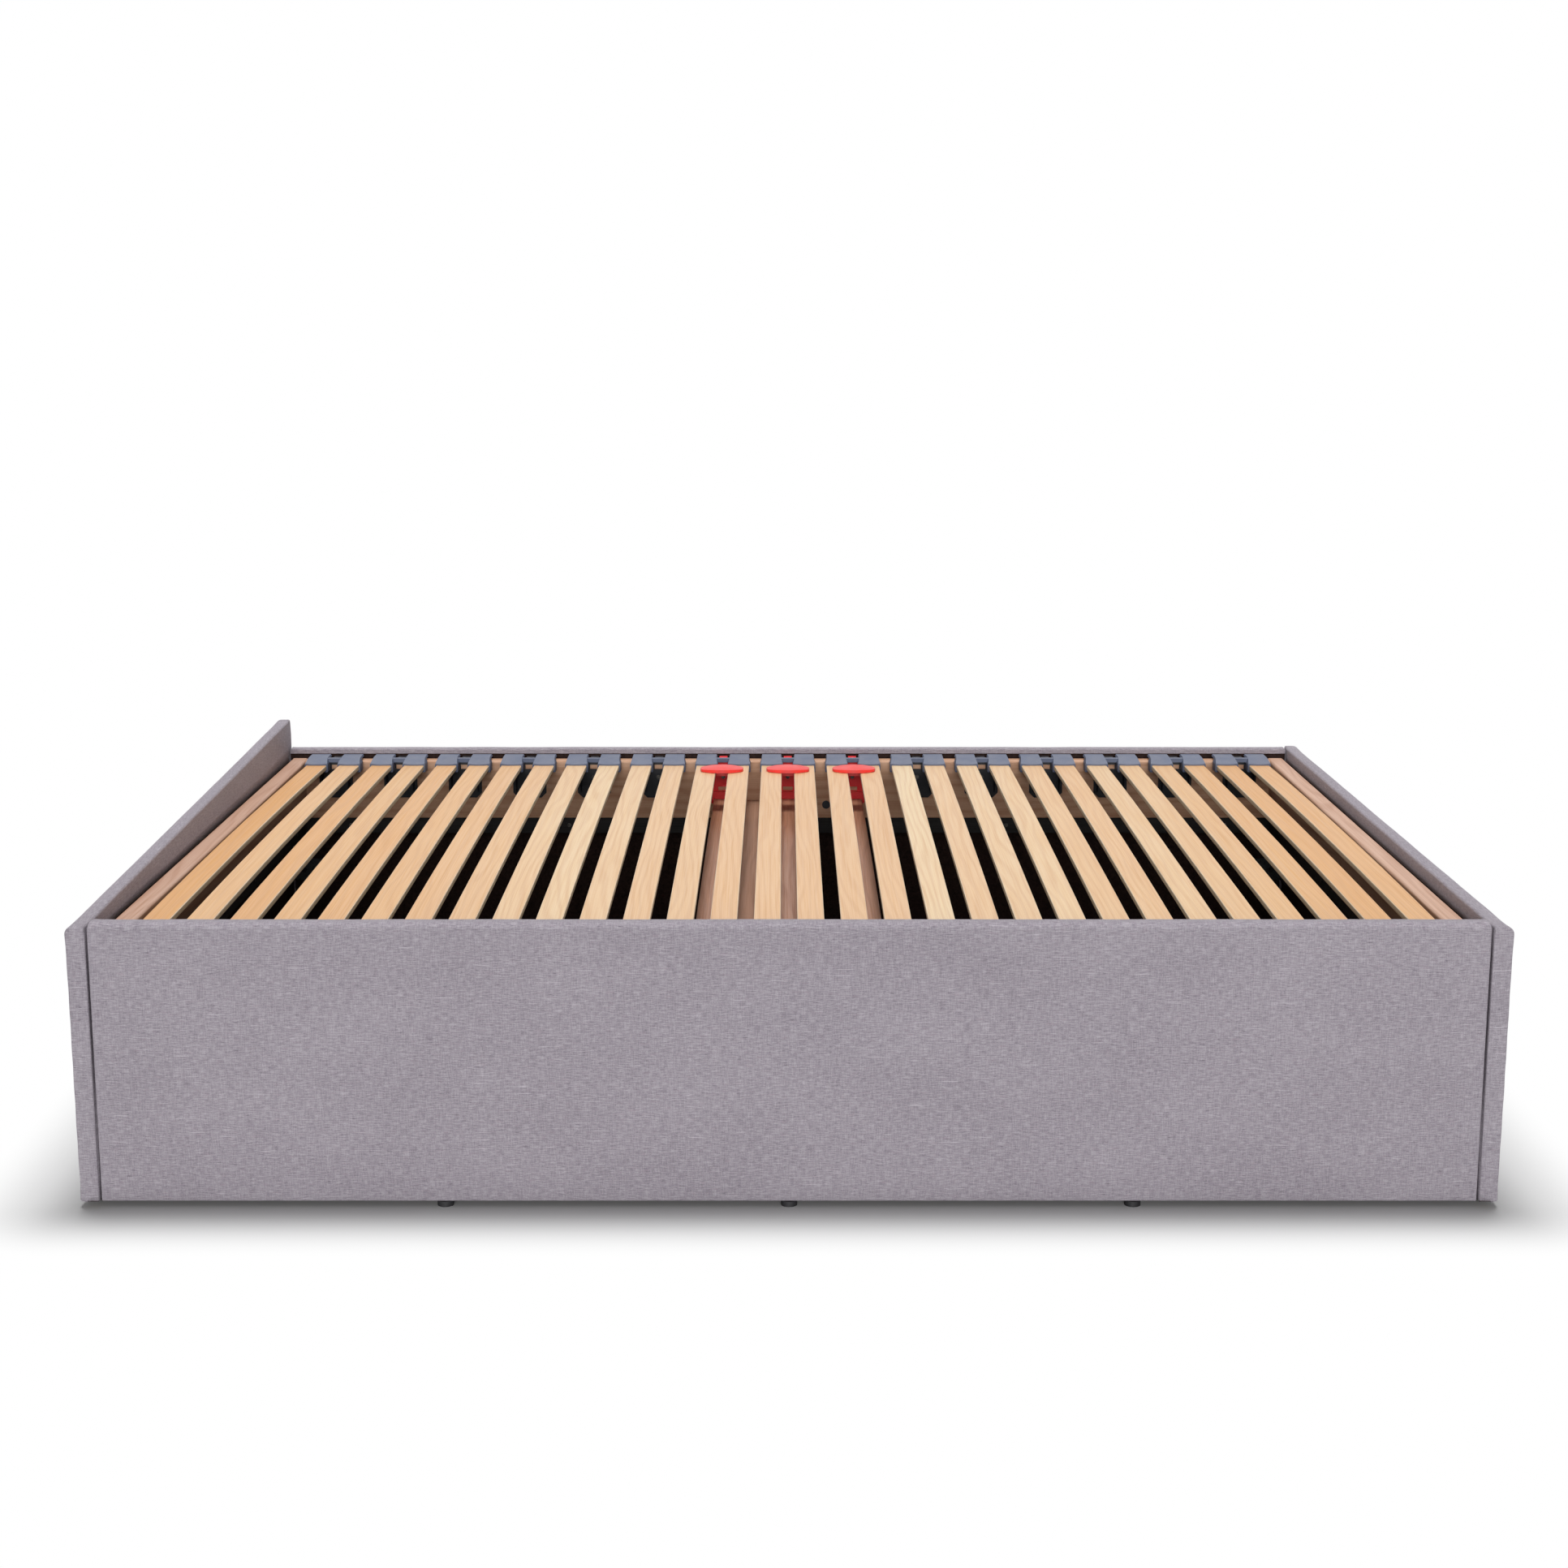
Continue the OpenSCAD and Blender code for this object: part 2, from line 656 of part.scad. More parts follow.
// The red holders also have a pocket for the end of a reinforcement slat
module adjuster_holder() {
    difference() {
        union() {
            holder(pocket_bottom);
            translate([-low_slat_w / 2 - pocket_wall, rail_in - pocket_d, pocket_bottom])
                cube([low_slat_w + 2 * pocket_wall, pocket_d, pocket_top - pocket_bottom]);
        }
        low_slat(slat_fit);
        translate([-cutout_w / 2, plate_y - over, pocket_top + cutout_gap])
            cube([cutout_w, plate_t + 2 * over, cutout_h]);
    }
}
module adjuster_holders() color("#C21A26")
    both_sides() for (number = adjusted) translate([pair_x(number), 0, 0]) adjuster_holder();

// Section of a slat, its upper face at x = radius, with rounded long edges
module slat_section(radius, thick, width, edge) {
    translate([radius - thick, -width / 2 + edge]) square([thick, width - 2 * edge]);
    translate([radius - thick + edge, -width / 2]) square([thick - 2 * edge, width]);
    for (x = [radius - thick + edge, radius - edge], y = [-1, 1])
        translate([x, y * (width / 2 - edge)]) circle(edge, $fn = 24);
}

// Slat along y, bent to an arc about an axis below the bed. `grow` makes its pocket
module bent_slat(radius, top, half, width, thick, edge, grow = 0) {
    reach = asin((half + grow) / radius);
    translate([0, 0, top - radius])
        rotate([0, -90, 0])
            rotate([0, 0, -reach])
                rotate_extrude(angle = 2 * reach, $fn = arc_steps)
                    slat_section(radius + grow, thick + 2 * grow, width + 2 * grow, edge + grow);
}
module slat(grow = 0) {
    bent_slat(slat_radius, slat_top, slat_half, slat_w, slat_t, slat_edge_r, grow);
}
module low_slat(grow = 0) {
    bent_slat(low_radius, low_top, low_half, low_slat_w, low_slat_t, slat_edge_r, grow);
}

module reinforcement_slats() color("#A88B76")
    for (number = adjusted) translate([pair_x(number), 0, 0]) low_slat();

// Two slats side by side
module slat_twins(grow = 0) {
    for (side = [-1, 1]) translate([side * slat_pitch / 2, 0, 0]) slat(grow);
}
module slat_pair(number) color("#E6C79E") translate([pair_x(number), 0, 0]) slat_twins();

// Outline of one cap from above, with its curved mouth
module cap_plan() {
    mouth_r = (cap_w * cap_w / 4 + cap_bulge * cap_bulge) / (2 * cap_bulge);
    intersection() {
        translate([-cap_w / 2, cap_mouth - cap_bulge - over])
            square([cap_w, block_end + tongue_l + over - cap_mouth + cap_bulge + over]);
        translate([0, cap_mouth - cap_bulge + mouth_r]) circle(mouth_r, $fn = 180);
    }
}

// Side view of one cap: from the lip the top rises in a curve to the tongue
module cap_side() {
    start = cap_mouth - cap_bulge;
    end = block_end + tongue_l;
    climb = [for (i = [0:climb_steps]) let (t = i / climb_steps)
        [start + t * (block_end - start), lip_z + (cap_top - lip_z) * sin(90 * t)]];
    polygon(concat(
        [[start - over, cap_bottom], [start - over, lip_z]],
        climb,
        [[end - tongue_chamfer, cap_top], [end, cap_top - tongue_chamfer],
         [end, tongue_z], [block_end, tongue_z], [block_end, cap_bottom]]
    ));
}

// Front view of one cap: its sides lean in above the slat, so that it narrows towards the tongue
module cap_front() {
    side = cap_w / 2;
    polygon([
        [-side, cap_bottom - over], [side, cap_bottom - over], [side, shoulder_z],
        [side - cap_shoulder, cap_top + over], [cap_shoulder - side, cap_top + over], [-side, shoulder_z]
    ]);
}

// One cap, before its pocket is cut
module cap_block() {
    tall = cap_top - cap_bottom;
    intersection() {
        rotate([90, 0, 90]) linear_extrude(cap_w + 2 * over, center = true) cap_side();
        translate([0, 0, cap_bottom - over]) linear_extrude(tall + 2 * over) cap_plan();
        translate([0, block_end + tongue_l + over, 0])
            rotate([90, 0, 0]) linear_extrude(block_end + tongue_l + 2 * over - cap_mouth + cap_bulge) cap_front();
    }
}

// Two caps joined by a bridge, with the pockets of the slats and the bore of the pin
module twin_cap() {
    difference() {
        union() {
            for (side = [-1, 1]) translate([side * slat_pitch / 2, 0, 0]) cap_block();
            translate([-bridge_w / 2, bridge_front, pivot_z - bridge_h / 2])
                cube([bridge_w, bridge_d, bridge_h]);
        }
        slat_twins(slat_fit);
        translate([0, 0, pivot_z]) along_y(pin_r + pin_fit, bore_start, bridge_y + over - bore_start);
    }
}
module twin_caps(number) color("#7E8CA6") translate([pair_x(number), 0, 0]) both_sides() twin_cap();

// Oval outline of a slider: two arcs that would meet past its tips, which a circle rounds off
module slider_plan() {
    half_w = slider_w / 2 + tip_past;
    half_d = slider_d / 2;
    arc = (half_w * half_w + half_d * half_d) / (2 * half_d);
    intersection() {
        translate([0, arc - half_d]) circle(arc, $fn = 180);
        translate([0, half_d - arc]) circle(arc, $fn = 180);
        circle(slider_w / 2, $fn = 180);
    }
}

// One slider: a dome over both slats, a neck between them and a foot below them
module slider(number) color("#E8343A") {
    below = slat_t + slider_lift + foot_gap;
    rise = slider_h - tip_h;
    dome_r = (slider_w * slider_w / 4 + rise * rise) / (2 * rise);
    translate([pair_x(number), slider_y, slider_z]) rotate([-slider_tilt, 0, 0]) {
        intersection() {
            linear_extrude(slider_h + over) slider_plan();
            translate([0, 0, slider_h - dome_r]) sphere(dome_r, $fn = 240);
        }
        translate([-slat_gap / 2 + neck_play, neck_start, -below - foot_t])
            cube([slat_gap - 2 * neck_play, neck_d, below + foot_t + over]);
        translate([-slider_foot_w / 2, neck_start, -below - foot_t]) cube([slider_foot_w, neck_d, foot_t]);
    }
}

front_rail_board();
front_rail_foam();
front_rail_cover();
rear_rail_board();
rear_rail_foam();
rear_rail_cover();
head_panel_board();
head_panel_foam();
head_panel_cover();
foot_panel_board();
foot_panel_foam();
foot_panel_cover();
ledge_battens();
corner_brackets();
bolts();
wood_screws();
glides();
bottom_lining();
base_side_rails();
base_end_rails();
cross_brace();
slat_holders();
adjuster_holders();
reinforcement_slats();
slat_pair(1);  // slat_pair_01
slat_pair(2);  // slat_pair_02
slat_pair(3);  // slat_pair_03
slat_pair(4);  // slat_pair_04
slat_pair(5);  // slat_pair_05
slat_pair(6);  // slat_pair_06
slat_pair(7);  // slat_pair_07
slat_pair(8);  // slat_pair_08
slat_pair(9);  // slat_pair_09
slat_pair(10);  // slat_pair_10
slat_pair(11);  // slat_pair_11
slat_pair(12);  // slat_pair_12
slat_pair(13);  // slat_pair_13
slat_pair(14);  // slat_pair_14
slat_pair(15);  // slat_pair_15
twin_caps(1);  // twin_caps_01
twin_caps(2);  // twin_caps_02
twin_caps(3);  // twin_caps_03
twin_caps(4);  // twin_caps_04
twin_caps(5);  // twin_caps_05
twin_caps(6);  // twin_caps_06
twin_caps(7);  // twin_caps_07
twin_caps(8);  // twin_caps_08
twin_caps(9);  // twin_caps_09
twin_caps(10);  // twin_caps_10
twin_caps(11);  // twin_caps_11
twin_caps(12);  // twin_caps_12
twin_caps(13);  // twin_caps_13
twin_caps(14);  // twin_caps_14
twin_caps(15);  // twin_caps_15
slider(7);  // slider_07
slider(8);  // slider_08
slider(9);  // slider_09
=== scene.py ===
"""Looks of an upholstered bed with a sprung slatted base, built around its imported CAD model.

Metres, in the frame of the CAD model: +X runs from the head to the foot, and -Y is the side
that the photograph shows first.
"""

import math

import bmesh
import bpy
from mathutils import Matrix, Vector, noise


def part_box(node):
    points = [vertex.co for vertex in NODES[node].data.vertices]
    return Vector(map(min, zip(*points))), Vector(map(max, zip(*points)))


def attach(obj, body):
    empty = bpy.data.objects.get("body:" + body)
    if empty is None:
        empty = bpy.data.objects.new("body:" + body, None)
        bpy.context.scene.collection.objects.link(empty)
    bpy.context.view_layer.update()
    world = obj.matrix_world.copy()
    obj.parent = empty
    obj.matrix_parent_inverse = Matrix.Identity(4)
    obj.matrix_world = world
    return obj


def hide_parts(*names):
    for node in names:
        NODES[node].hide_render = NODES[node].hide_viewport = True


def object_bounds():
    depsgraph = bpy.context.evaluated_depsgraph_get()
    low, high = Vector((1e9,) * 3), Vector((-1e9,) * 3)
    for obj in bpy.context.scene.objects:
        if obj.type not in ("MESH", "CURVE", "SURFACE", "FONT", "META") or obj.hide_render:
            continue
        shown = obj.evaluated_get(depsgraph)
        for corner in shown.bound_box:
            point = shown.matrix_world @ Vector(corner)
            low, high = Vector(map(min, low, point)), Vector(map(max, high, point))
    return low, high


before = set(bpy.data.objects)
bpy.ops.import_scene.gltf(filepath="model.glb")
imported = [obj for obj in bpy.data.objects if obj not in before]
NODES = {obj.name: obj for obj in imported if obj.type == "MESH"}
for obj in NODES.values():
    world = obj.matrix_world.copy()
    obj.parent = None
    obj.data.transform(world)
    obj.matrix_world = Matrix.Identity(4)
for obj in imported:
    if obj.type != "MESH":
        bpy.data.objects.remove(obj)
CAD_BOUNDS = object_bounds()
BODY = "bed_frame"
MM = 0.001

# Names of the panels and of their boards, and the number of pairs of slats
PANELS = ("front_rail", "rear_rail", "head_panel", "foot_panel")
BOARDS = [f"{panel}_board" for panel in PANELS]
PAIR_COUNT = 15

# Sizes that the frame gives
COVER_LOW, COVER_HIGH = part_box("rear_rail_cover")
BOARD_LOW, BOARD_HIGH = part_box("rear_rail_board")
FLOOR_GAP = COVER_LOW.z
PANEL_T = COVER_HIGH.y - COVER_LOW.y
COVER_T = BOARD_LOW.z - COVER_LOW.z
BOARD_T = BOARD_HIGH.y - BOARD_LOW.y
PAIR_LOW, PAIR_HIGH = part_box("slat_pair_08")
SLAT_PITCH = (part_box("slat_pair_09")[0].x - PAIR_LOW.x) / 2

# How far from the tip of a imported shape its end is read, how near a point is to a face that it
# lies on, and how close corners are joined
END_SLICE = 2 * MM
ON_FACE = 0.1 * MM
JOIN = 0.01 * MM

# The photograph's camera
CAMERA_PLACE = (-7.5 * MM, -4.0413, 1.2765)
CAMERA_PITCH = 11.064
CAMERA_LENS = 54.94
SENSOR = 36.0

# Studio: how bright the surroundings and the lamps are, how high the lamps stand and how wide
# they look in degrees, the tone of the floor's paint near the bed (darker than white, so it adds
# painted shade to the real shadow there), how far from the bed it turns into the white
# background, and how far the floor reaches
WORLD_LEVEL = 0.21
TOP_LEVEL = 0.65
TOP_HEIGHT = 78
TOP_WIDTH = 20
FRONT_LEVEL = 0.57
FRONT_HEIGHT = 12
FRONT_WIDTH = 25
LAMP_DISTANCE = 4.0
FLOOR_SHADE_TONE = 0.6
FLOOR_FADE = 0.19
FLOOR_REACH = 40.0
WHITE = (1.0, 1.0, 1.0, 1.0)

# Textures: width of a thread of the cover and how far it sways, thickness of a ply of the slats,
# how far from the middle of the bed slats start to be golden and are so fully (painted light, for
# how the light falls along the bed), how far the outlines of the chips in the boards are shoved,
# and pitch of the dots embossed in the lining
THREAD = 1.05 * MM
THREAD_SWAY = 4 * MM
PLY_T = 1.67 * MM
LIT_GOLD_START = 0.25
LIT_GOLD_FULL = 0.95
CHIP_SHOVE = 2.5 * MM
DOT_PITCH = 2.4 * MM

# Padded panels: radii of their edges, width of the hem, and how far the cover wraps round the
# inner faces of the end panels
OUTER_R = 12 * MM
INNER_R = 4 * MM
BOTTOM_R = 3 * MM
END_R = 3 * MM
HEM = 12 * MM
END_WRAP = 27 * MM

# Mesh of a cover: rows up a face, rows above the rim inside and their least height, steps in a
# rounded edge, spacing of the sections along a panel, and where the closer ones stand behind its
# rounded ends
FACE_ROWS = 34
INSIDE_ROWS = 3
INSIDE_LEAST = 1 * MM
ARC_STEPS = 6
QUARTER = [math.radians(90 * step / ARC_STEPS) for step in range(ARC_STEPS + 1)]
STATION = 14 * MM
END_STATIONS = (1 * MM, 2.2 * MM, 3.8 * MM, 6 * MM, 9 * MM)

# How a cover gives: pulled in at its edges, puckered at its hem and ends, wavy on its face, and
# sunk and uneven along its top, from TOP_BAND below it. A reach is how far this takes to fade.
EDGE_PULL = 1.3 * MM
PULL_REACH = 70 * MM
PUCKER = 0.35 * MM
PUCKER_PITCH = 58 * MM
HEM_REACH = 45 * MM
END_REACH = 40 * MM
WAVE = 0.55 * MM
WAVE_REACH = 20 * MM
WAVES_PER_M = (6.1, 9.0)
RIPPLES_PER_M = (19, 23)
TOP_BAND = 16 * MM
TOP_REACH = 14 * MM
TOP_SINK = 0.35 * MM
TOP_WAVE = 0.5 * MM
TOP_WAVES_PER_M = 11

# Settling of the covers: the simulation's frames, pressure and stiffness, how far a point of a
# tight cover may move, and how close it may come to the board
CLOTH_FRAMES = 20
CLOTH_PRESSURE = 2.5
CLOTH_SHRINK = 0.002
CLOTH_STRETCH = 40.0
CLOTH_SHEAR = 20.0
CLOTH_BENDING = 2.0
CLOTH_CAP = 1.6 * MM
CLOTH_ROOM = 1.0 * MM

# Lining: thickness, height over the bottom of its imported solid, size of its cells, and its sag
LINING_T = 0.6 * MM
LINING_RISE = 0.5 * MM
LINING_CELL = 30 * MM
SAG = 4 * MM
SAG_RIPPLE = 0.4 * MM
SAG_REACH = 350 * MM

# Staples: size, bevel, how far they go into the hem, and where they stand
STAPLE_CROWN = 10 * MM
STAPLE_WIRE = 1.1 * MM
STAPLE_DEPTH = 0.6 * MM
STAPLE_BEVEL = 0.25 * MM
STAPLE_SINK = 0.4 * MM
STAPLE_PITCH = 45 * MM
STAPLE_INSET = 5 * MM
STAPLE_MARGIN = 50 * MM


# Node helpers

def put(tree, kind, inputs=None, **settings):
    """Adds a shader node. Each input is a plain value, or the socket that feeds it."""
    node = tree.nodes.new("ShaderNode" + kind)
    for key, value in settings.items():
        setattr(node, key, value)
    for key, value in (inputs or {}).items():
        feed(tree, node.inputs[key], value)
    return node


def feed(tree, socket, value):
    """Links a socket to another one, or gives it a plain value."""
    if isinstance(value, bpy.types.NodeSocket):
        tree.links.new(value, socket)
    else:
        socket.default_value = value


def calc(tree, operation, *values):
    """One Math node."""
    node = put(tree, "Math", operation=operation)
    for socket, value in zip(node.inputs, values):
        feed(tree, socket, value)
    return node.outputs[0]


def total(tree, *parts):
    """Sum of (weight, socket) pairs."""
    out = None
    for weight, socket in parts:
        part = calc(tree, "MULTIPLY", socket, weight)
        out = part if out is None else calc(tree, "ADD", out, part)
    return out


def clamped(tree, value, low, high):
    """Maps low..high to 0..1, smoothly, and holds it there."""
    node = put(tree, "MapRange", {"Value": value, "From Min": low, "From Max": high})
    node.interpolation_type = "SMOOTHSTEP"
    return node.outputs["Result"]


def pick(tree, factor, first, second):
    """One number out of two: first where factor is 0, second where it is 1."""
    node = put(tree, "Mix", data_type="FLOAT")
    feed(tree, node.inputs[0], factor)
    feed(tree, node.inputs[2], first)
    feed(tree, node.inputs[3], second)
    return node.outputs[0]


def tint(tree, factor, first, second):
    """One colour out of two: first where factor is 0, second where it is 1."""
    node = put(tree, "Mix", data_type="RGBA")
    feed(tree, node.inputs[0], factor)
    feed(tree, node.inputs[6], first)
    feed(tree, node.inputs[7], second)
    return node.outputs[2]


def stretched(tree, *parts):
    """A place in space. Each part is a (coordinate, factor) pair or a value as it is."""
    node = put(tree, "CombineXYZ")
    for socket, part in zip(node.inputs, parts):
        feed(tree, socket, calc(tree, "MULTIPLY", *part) if isinstance(part, tuple) else part)
    return node.outputs[0]


def cloud(tree, place, detail=2.0, warp=0.0):
    """Noise of scale 1 at a place that is already stretched as it should be."""
    inputs = {"Vector": place, "Scale": 1.0, "Detail": detail, "Distortion": warp}
    return put(tree, "TexNoise", inputs).outputs["Fac"]


def chance(tree, number):
    """Random colour and value that belong to a number."""
    return put(tree, "TexWhiteNoise", {"W": number}, noise_dimensions="1D").outputs


def axes(tree):
    """The three coordinates of a point on the object, in metres."""
    place = put(tree, "TexCoord").outputs["Object"]
    split = put(tree, "SeparateXYZ", {"Vector": place})
    return split.outputs["X"], split.outputs["Y"], split.outputs["Z"]


def facing(tree):
    """How far a surface faces along X, Y and Z, without sign."""
    split = put(tree, "SeparateXYZ", {"Vector": put(tree, "TexCoord").outputs["Normal"]})
    return [calc(tree, "ABSOLUTE", split.outputs[name]) for name in "XYZ"]


def bump(tree, height, distance, strength):
    """A normal from the height of a relief, and how deep that is in metres."""
    inputs = {"Height": height, "Distance": distance, "Strength": strength}
    return put(tree, "Bump", inputs).outputs["Normal"]


def rgb(code):
    """A colour from its sRGB hex code, as the linear values that a shader takes."""
    values = [int(code[i:i + 2], 16) / 255 for i in (1, 3, 5)]
    linear = [v / 12.92 if v <= 0.04045 else ((v + 0.055) / 1.055) ** 2.4 for v in values]
    return (*linear, 1.0)


def new_material(name):
    """A material with an empty tree."""
    material = bpy.data.materials.new(name)
    material.use_nodes = True
    material.node_tree.nodes.clear()
    return material, material.node_tree


def finish_material(tree, inputs):
    """The Principled shader, with its inputs and its output."""
    shader = put(tree, "BsdfPrincipled", inputs)
    out = put(tree, "OutputMaterial")
    tree.links.new(shader.outputs[0], out.inputs["Surface"])


def flat_places(tree, along):
    """Coordinates on an upright panel: along it, and across it up a face or over the top.

    On the ends of the panel the first one runs across its thickness.
    """
    x, y, z = axes(tree)
    face_x, face_y, face_z = facing(tree)
    long, thick = (x, y) if along == "X" else (y, x)
    face_long, face_thick = (face_x, face_y) if along == "X" else (face_y, face_x)
    is_end = calc(tree, "GREATER_THAN", face_long, calc(tree, "MAXIMUM", face_thick, face_z))
    is_top = calc(tree, "GREATER_THAN", face_z, calc(tree, "MAXIMUM", face_thick, face_long))
    return pick(tree, is_end, long, thick), pick(tree, is_top, z, thick)


# Materials

def woven(name, along):
    """Grey-mauve melange weave with pale slubs along the panel."""
    material, tree = new_material(name)
    length, across = flat_places(tree, along)
    sway = cloud(tree, stretched(tree, (length, 7), (across, 7)))
    level = calc(tree, "MULTIPLY_ADD", sway, THREAD_SWAY, across)

    def streaks(per_m_long, per_m_across, shift, detail=2.0):
        return cloud(tree, stretched(tree, (length, per_m_long), (level, per_m_across), shift), detail)

    slubs = clamped(tree, streaks(80, 700, 0.0), 0.34, 0.72)
    pale_slubs = clamped(tree, streaks(19, 520, 5.0, 1.0), 0.64, 0.80)
    dark_slubs = clamped(tree, streaks(90, 420, 9.0, 1.0), 0.60, 0.80)
    warps = clamped(tree, streaks(560, 60, 13.0), 0.34, 0.70)
    fibres = streaks(520, 700, 17.0, 3.0)
    patches = streaks(5, 9, 21.0, 3.0)
    threads = total(tree, (0.30, slubs), (0.42, pale_slubs), (-0.26, dark_slubs), (0.16, warps))
    shade = total(tree, (1.0, threads), (0.6, fibres), (0.22, patches))
    shade = clamped(tree, shade, 0.0, 1.3)
    colour = tint(tree, shade, rgb("#7A727C"), rgb("#C8C1C9"))
    rose = clamped(tree, streaks(60, 300, 27.0, 2.0), 0.58, 0.72)
    colour = tint(tree, calc(tree, "MULTIPLY", rose, 0.18), colour, rgb("#A48C97"))

    u = calc(tree, "SINE", calc(tree, "MULTIPLY", length, math.pi / THREAD))
    v = calc(tree, "SINE", calc(tree, "MULTIPLY", level, math.pi / THREAD))
    over = calc(tree, "GREATER_THAN", calc(tree, "MULTIPLY", u, v), 0.0)
    weave = pick(tree, over, calc(tree, "ABSOLUTE", u), calc(tree, "ABSOLUTE", v))
    height = total(tree, (0.5, weave), (0.7, slubs), (0.5, pale_slubs), (0.35, fibres))
    finish_material(tree, {
        "Base Color": colour,
        "Roughness": pick(tree, shade, 0.96, 0.82),
        "Specular IOR Level": 0.25,
        "Sheen Weight": 0.22,
        "Sheen Roughness": 0.45,
        "Sheen Tint": rgb("#D8D2DA"),
        "Normal": bump(tree, height, 0.22 * MM, 0.8),
    })
    return material


def slat_bow():
    """How fast a sprung slat drops from its middle, for the lines of its plies."""
    half = PAIR_HIGH.y
    corners = [v.co for v in NODES["slat_pair_08"].data.vertices]
    end_top = max(p.z for p in corners if abs(p.y) > half - END_SLICE)
    return (PAIR_HIGH.z - end_top) / (half * half)


def wood(
    name, along, pale, warm, deep, bands=70.0, contrast=1.0, pitch=None, plies=None, rough=0.5,
    lit_gold=None, two_tone=False
):
    """Planed wood with its grain along one axis.

    `pitch` gives each strip of that width along X its own tone and figure. `plies` is the
    thickness of a ply, whose glue lines show on the sides; the sides are painted paler, partly the
    pale cut edges of the plies and partly a painted highlight for light falling on them. `lit_gold`
    is painted light: a warmer tone towards both ends of the bed, for how the light falls along it.
    With `two_tone` the strip on the negative side is pale and the other one warm.
    """
    material, tree = new_material(name)
    x, y, z = axes(tree)
    face_x, face_y, face_z = facing(tree)
    length, across = (x, y) if along == "X" else (y, x)
    face_long = face_x if along == "X" else face_y
    number = calc(tree, "FLOOR", calc(tree, "DIVIDE", x, pitch)) if pitch else calc(tree, "SIGN", across)
    drawn = chance(tree, calc(tree, "ADD", number, 0.37))
    first = clamped(tree, number, -0.5, 0.5) if two_tone else drawn["Value"]
    second = put(tree, "SeparateColor", {"Color": drawn["Color"]}).outputs["Green"]
    shift = calc(tree, "MULTIPLY", number, 3.7)
    side = calc(tree, "ADD", across, calc(tree, "MULTIPLY", z, 0.8))

    def grain(per_m_long, per_m_across, more, detail=2.0, warp=0.0):
        layer = calc(tree, "ADD", shift, more)
        return cloud(tree, stretched(tree, (side, per_m_across), (length, per_m_long), layer), detail, warp)

    bend = grain(1.6, 14, 0.0, 2.0)
    rings = calc(tree, "SINE", total(tree, (bands * 6.3, side), (38.0, bend), (3.0, length)))
    rings = clamped(tree, rings, -0.4, 1.0)
    lines = clamped(tree, grain(5, 620, 2.0, 3.0), 0.35, 0.75)
    flecks = clamped(tree, grain(210, 1500, 4.0, 1.0), 0.60, 0.74)
    figure = grain(3.2, 26, 6.0, 3.0, 0.6)
    stain = clamped(tree, grain(1.1, 5, 8.0, 2.0), 0.35, 0.7)

    body = tint(tree, first, pale, warm)
    body = tint(tree, calc(tree, "MULTIPLY", stain, calc(tree, "MULTIPLY", second, 0.55)), body, warm)
    # Painted light: the slats turn warmer towards both ends of the bed, by a random amount per slat,
    # standing in for how the light falls along the bed.
    if lit_gold:
        by_end = clamped(tree, calc(tree, "ABSOLUTE", x), LIT_GOLD_START, LIT_GOLD_FULL)
        amount = calc(tree, "MULTIPLY", by_end, calc(tree, "MULTIPLY_ADD", second, 0.5, 0.5))
        body = tint(tree, amount, body, lit_gold)
    amount = total(tree, (0.24, rings), (0.20, lines), (0.40, figure))
    amount = calc(tree, "MULTIPLY", amount, contrast)
    colour = tint(tree, amount, body, deep)
    colour = tint(tree, calc(tree, "MULTIPLY", flecks, 0.3 * contrast), colour, deep)
    height = total(tree, (0.4, lines), (-0.6, flecks), (0.3, rings))

    if plies:
        bow = calc(tree, "MULTIPLY", calc(tree, "MULTIPLY", y, y), slat_bow())
        layer = calc(tree, "DIVIDE", calc(tree, "ADD", z, bow), plies)
        glue = calc(tree, "ABSOLUTE", calc(tree, "SUBTRACT", calc(tree, "FRACT", layer), 0.5))
        glue = clamped(tree, glue, 0.40, 0.49)
        # Painted highlight: the sides of the slats are tinted towards pale cream. This is partly the pale
        # cut edges of the plies and partly stands in for light falling on the sides and their upper edges.
        # The glue lines on them are real.
        on_side = clamped(tree, face_z, 0.96, 0.6)
        tone = chance(tree, calc(tree, "FLOOR", layer))["Value"]
        lightness = calc(tree, "MULTIPLY_ADD", tone, 0.2, 0.8)
        colour = tint(tree, calc(tree, "MULTIPLY", on_side, lightness), colour, rgb("#FFE8C8"))
        colour = tint(tree, calc(tree, "MULTIPLY", on_side, calc(tree, "MULTIPLY", glue, 0.2)), colour, deep)

    pores = clamped(tree, cloud(tree, stretched(tree, (across, 900), (z, 900), shift), 1.0), 0.45, 0.75)
    is_cut = clamped(tree, face_long, 0.6, 0.8)
    colour = tint(tree, calc(tree, "MULTIPLY", is_cut, calc(tree, "MULTIPLY", pores, 0.6)), colour, deep)
    finish_material(tree, {
        "Base Color": colour,
        "Roughness": pick(tree, lines, rough - 0.06, rough + 0.12),
        "Specular IOR Level": 0.45,
        "Normal": bump(tree, height, 0.08 * MM, 0.5),
    })
    return material


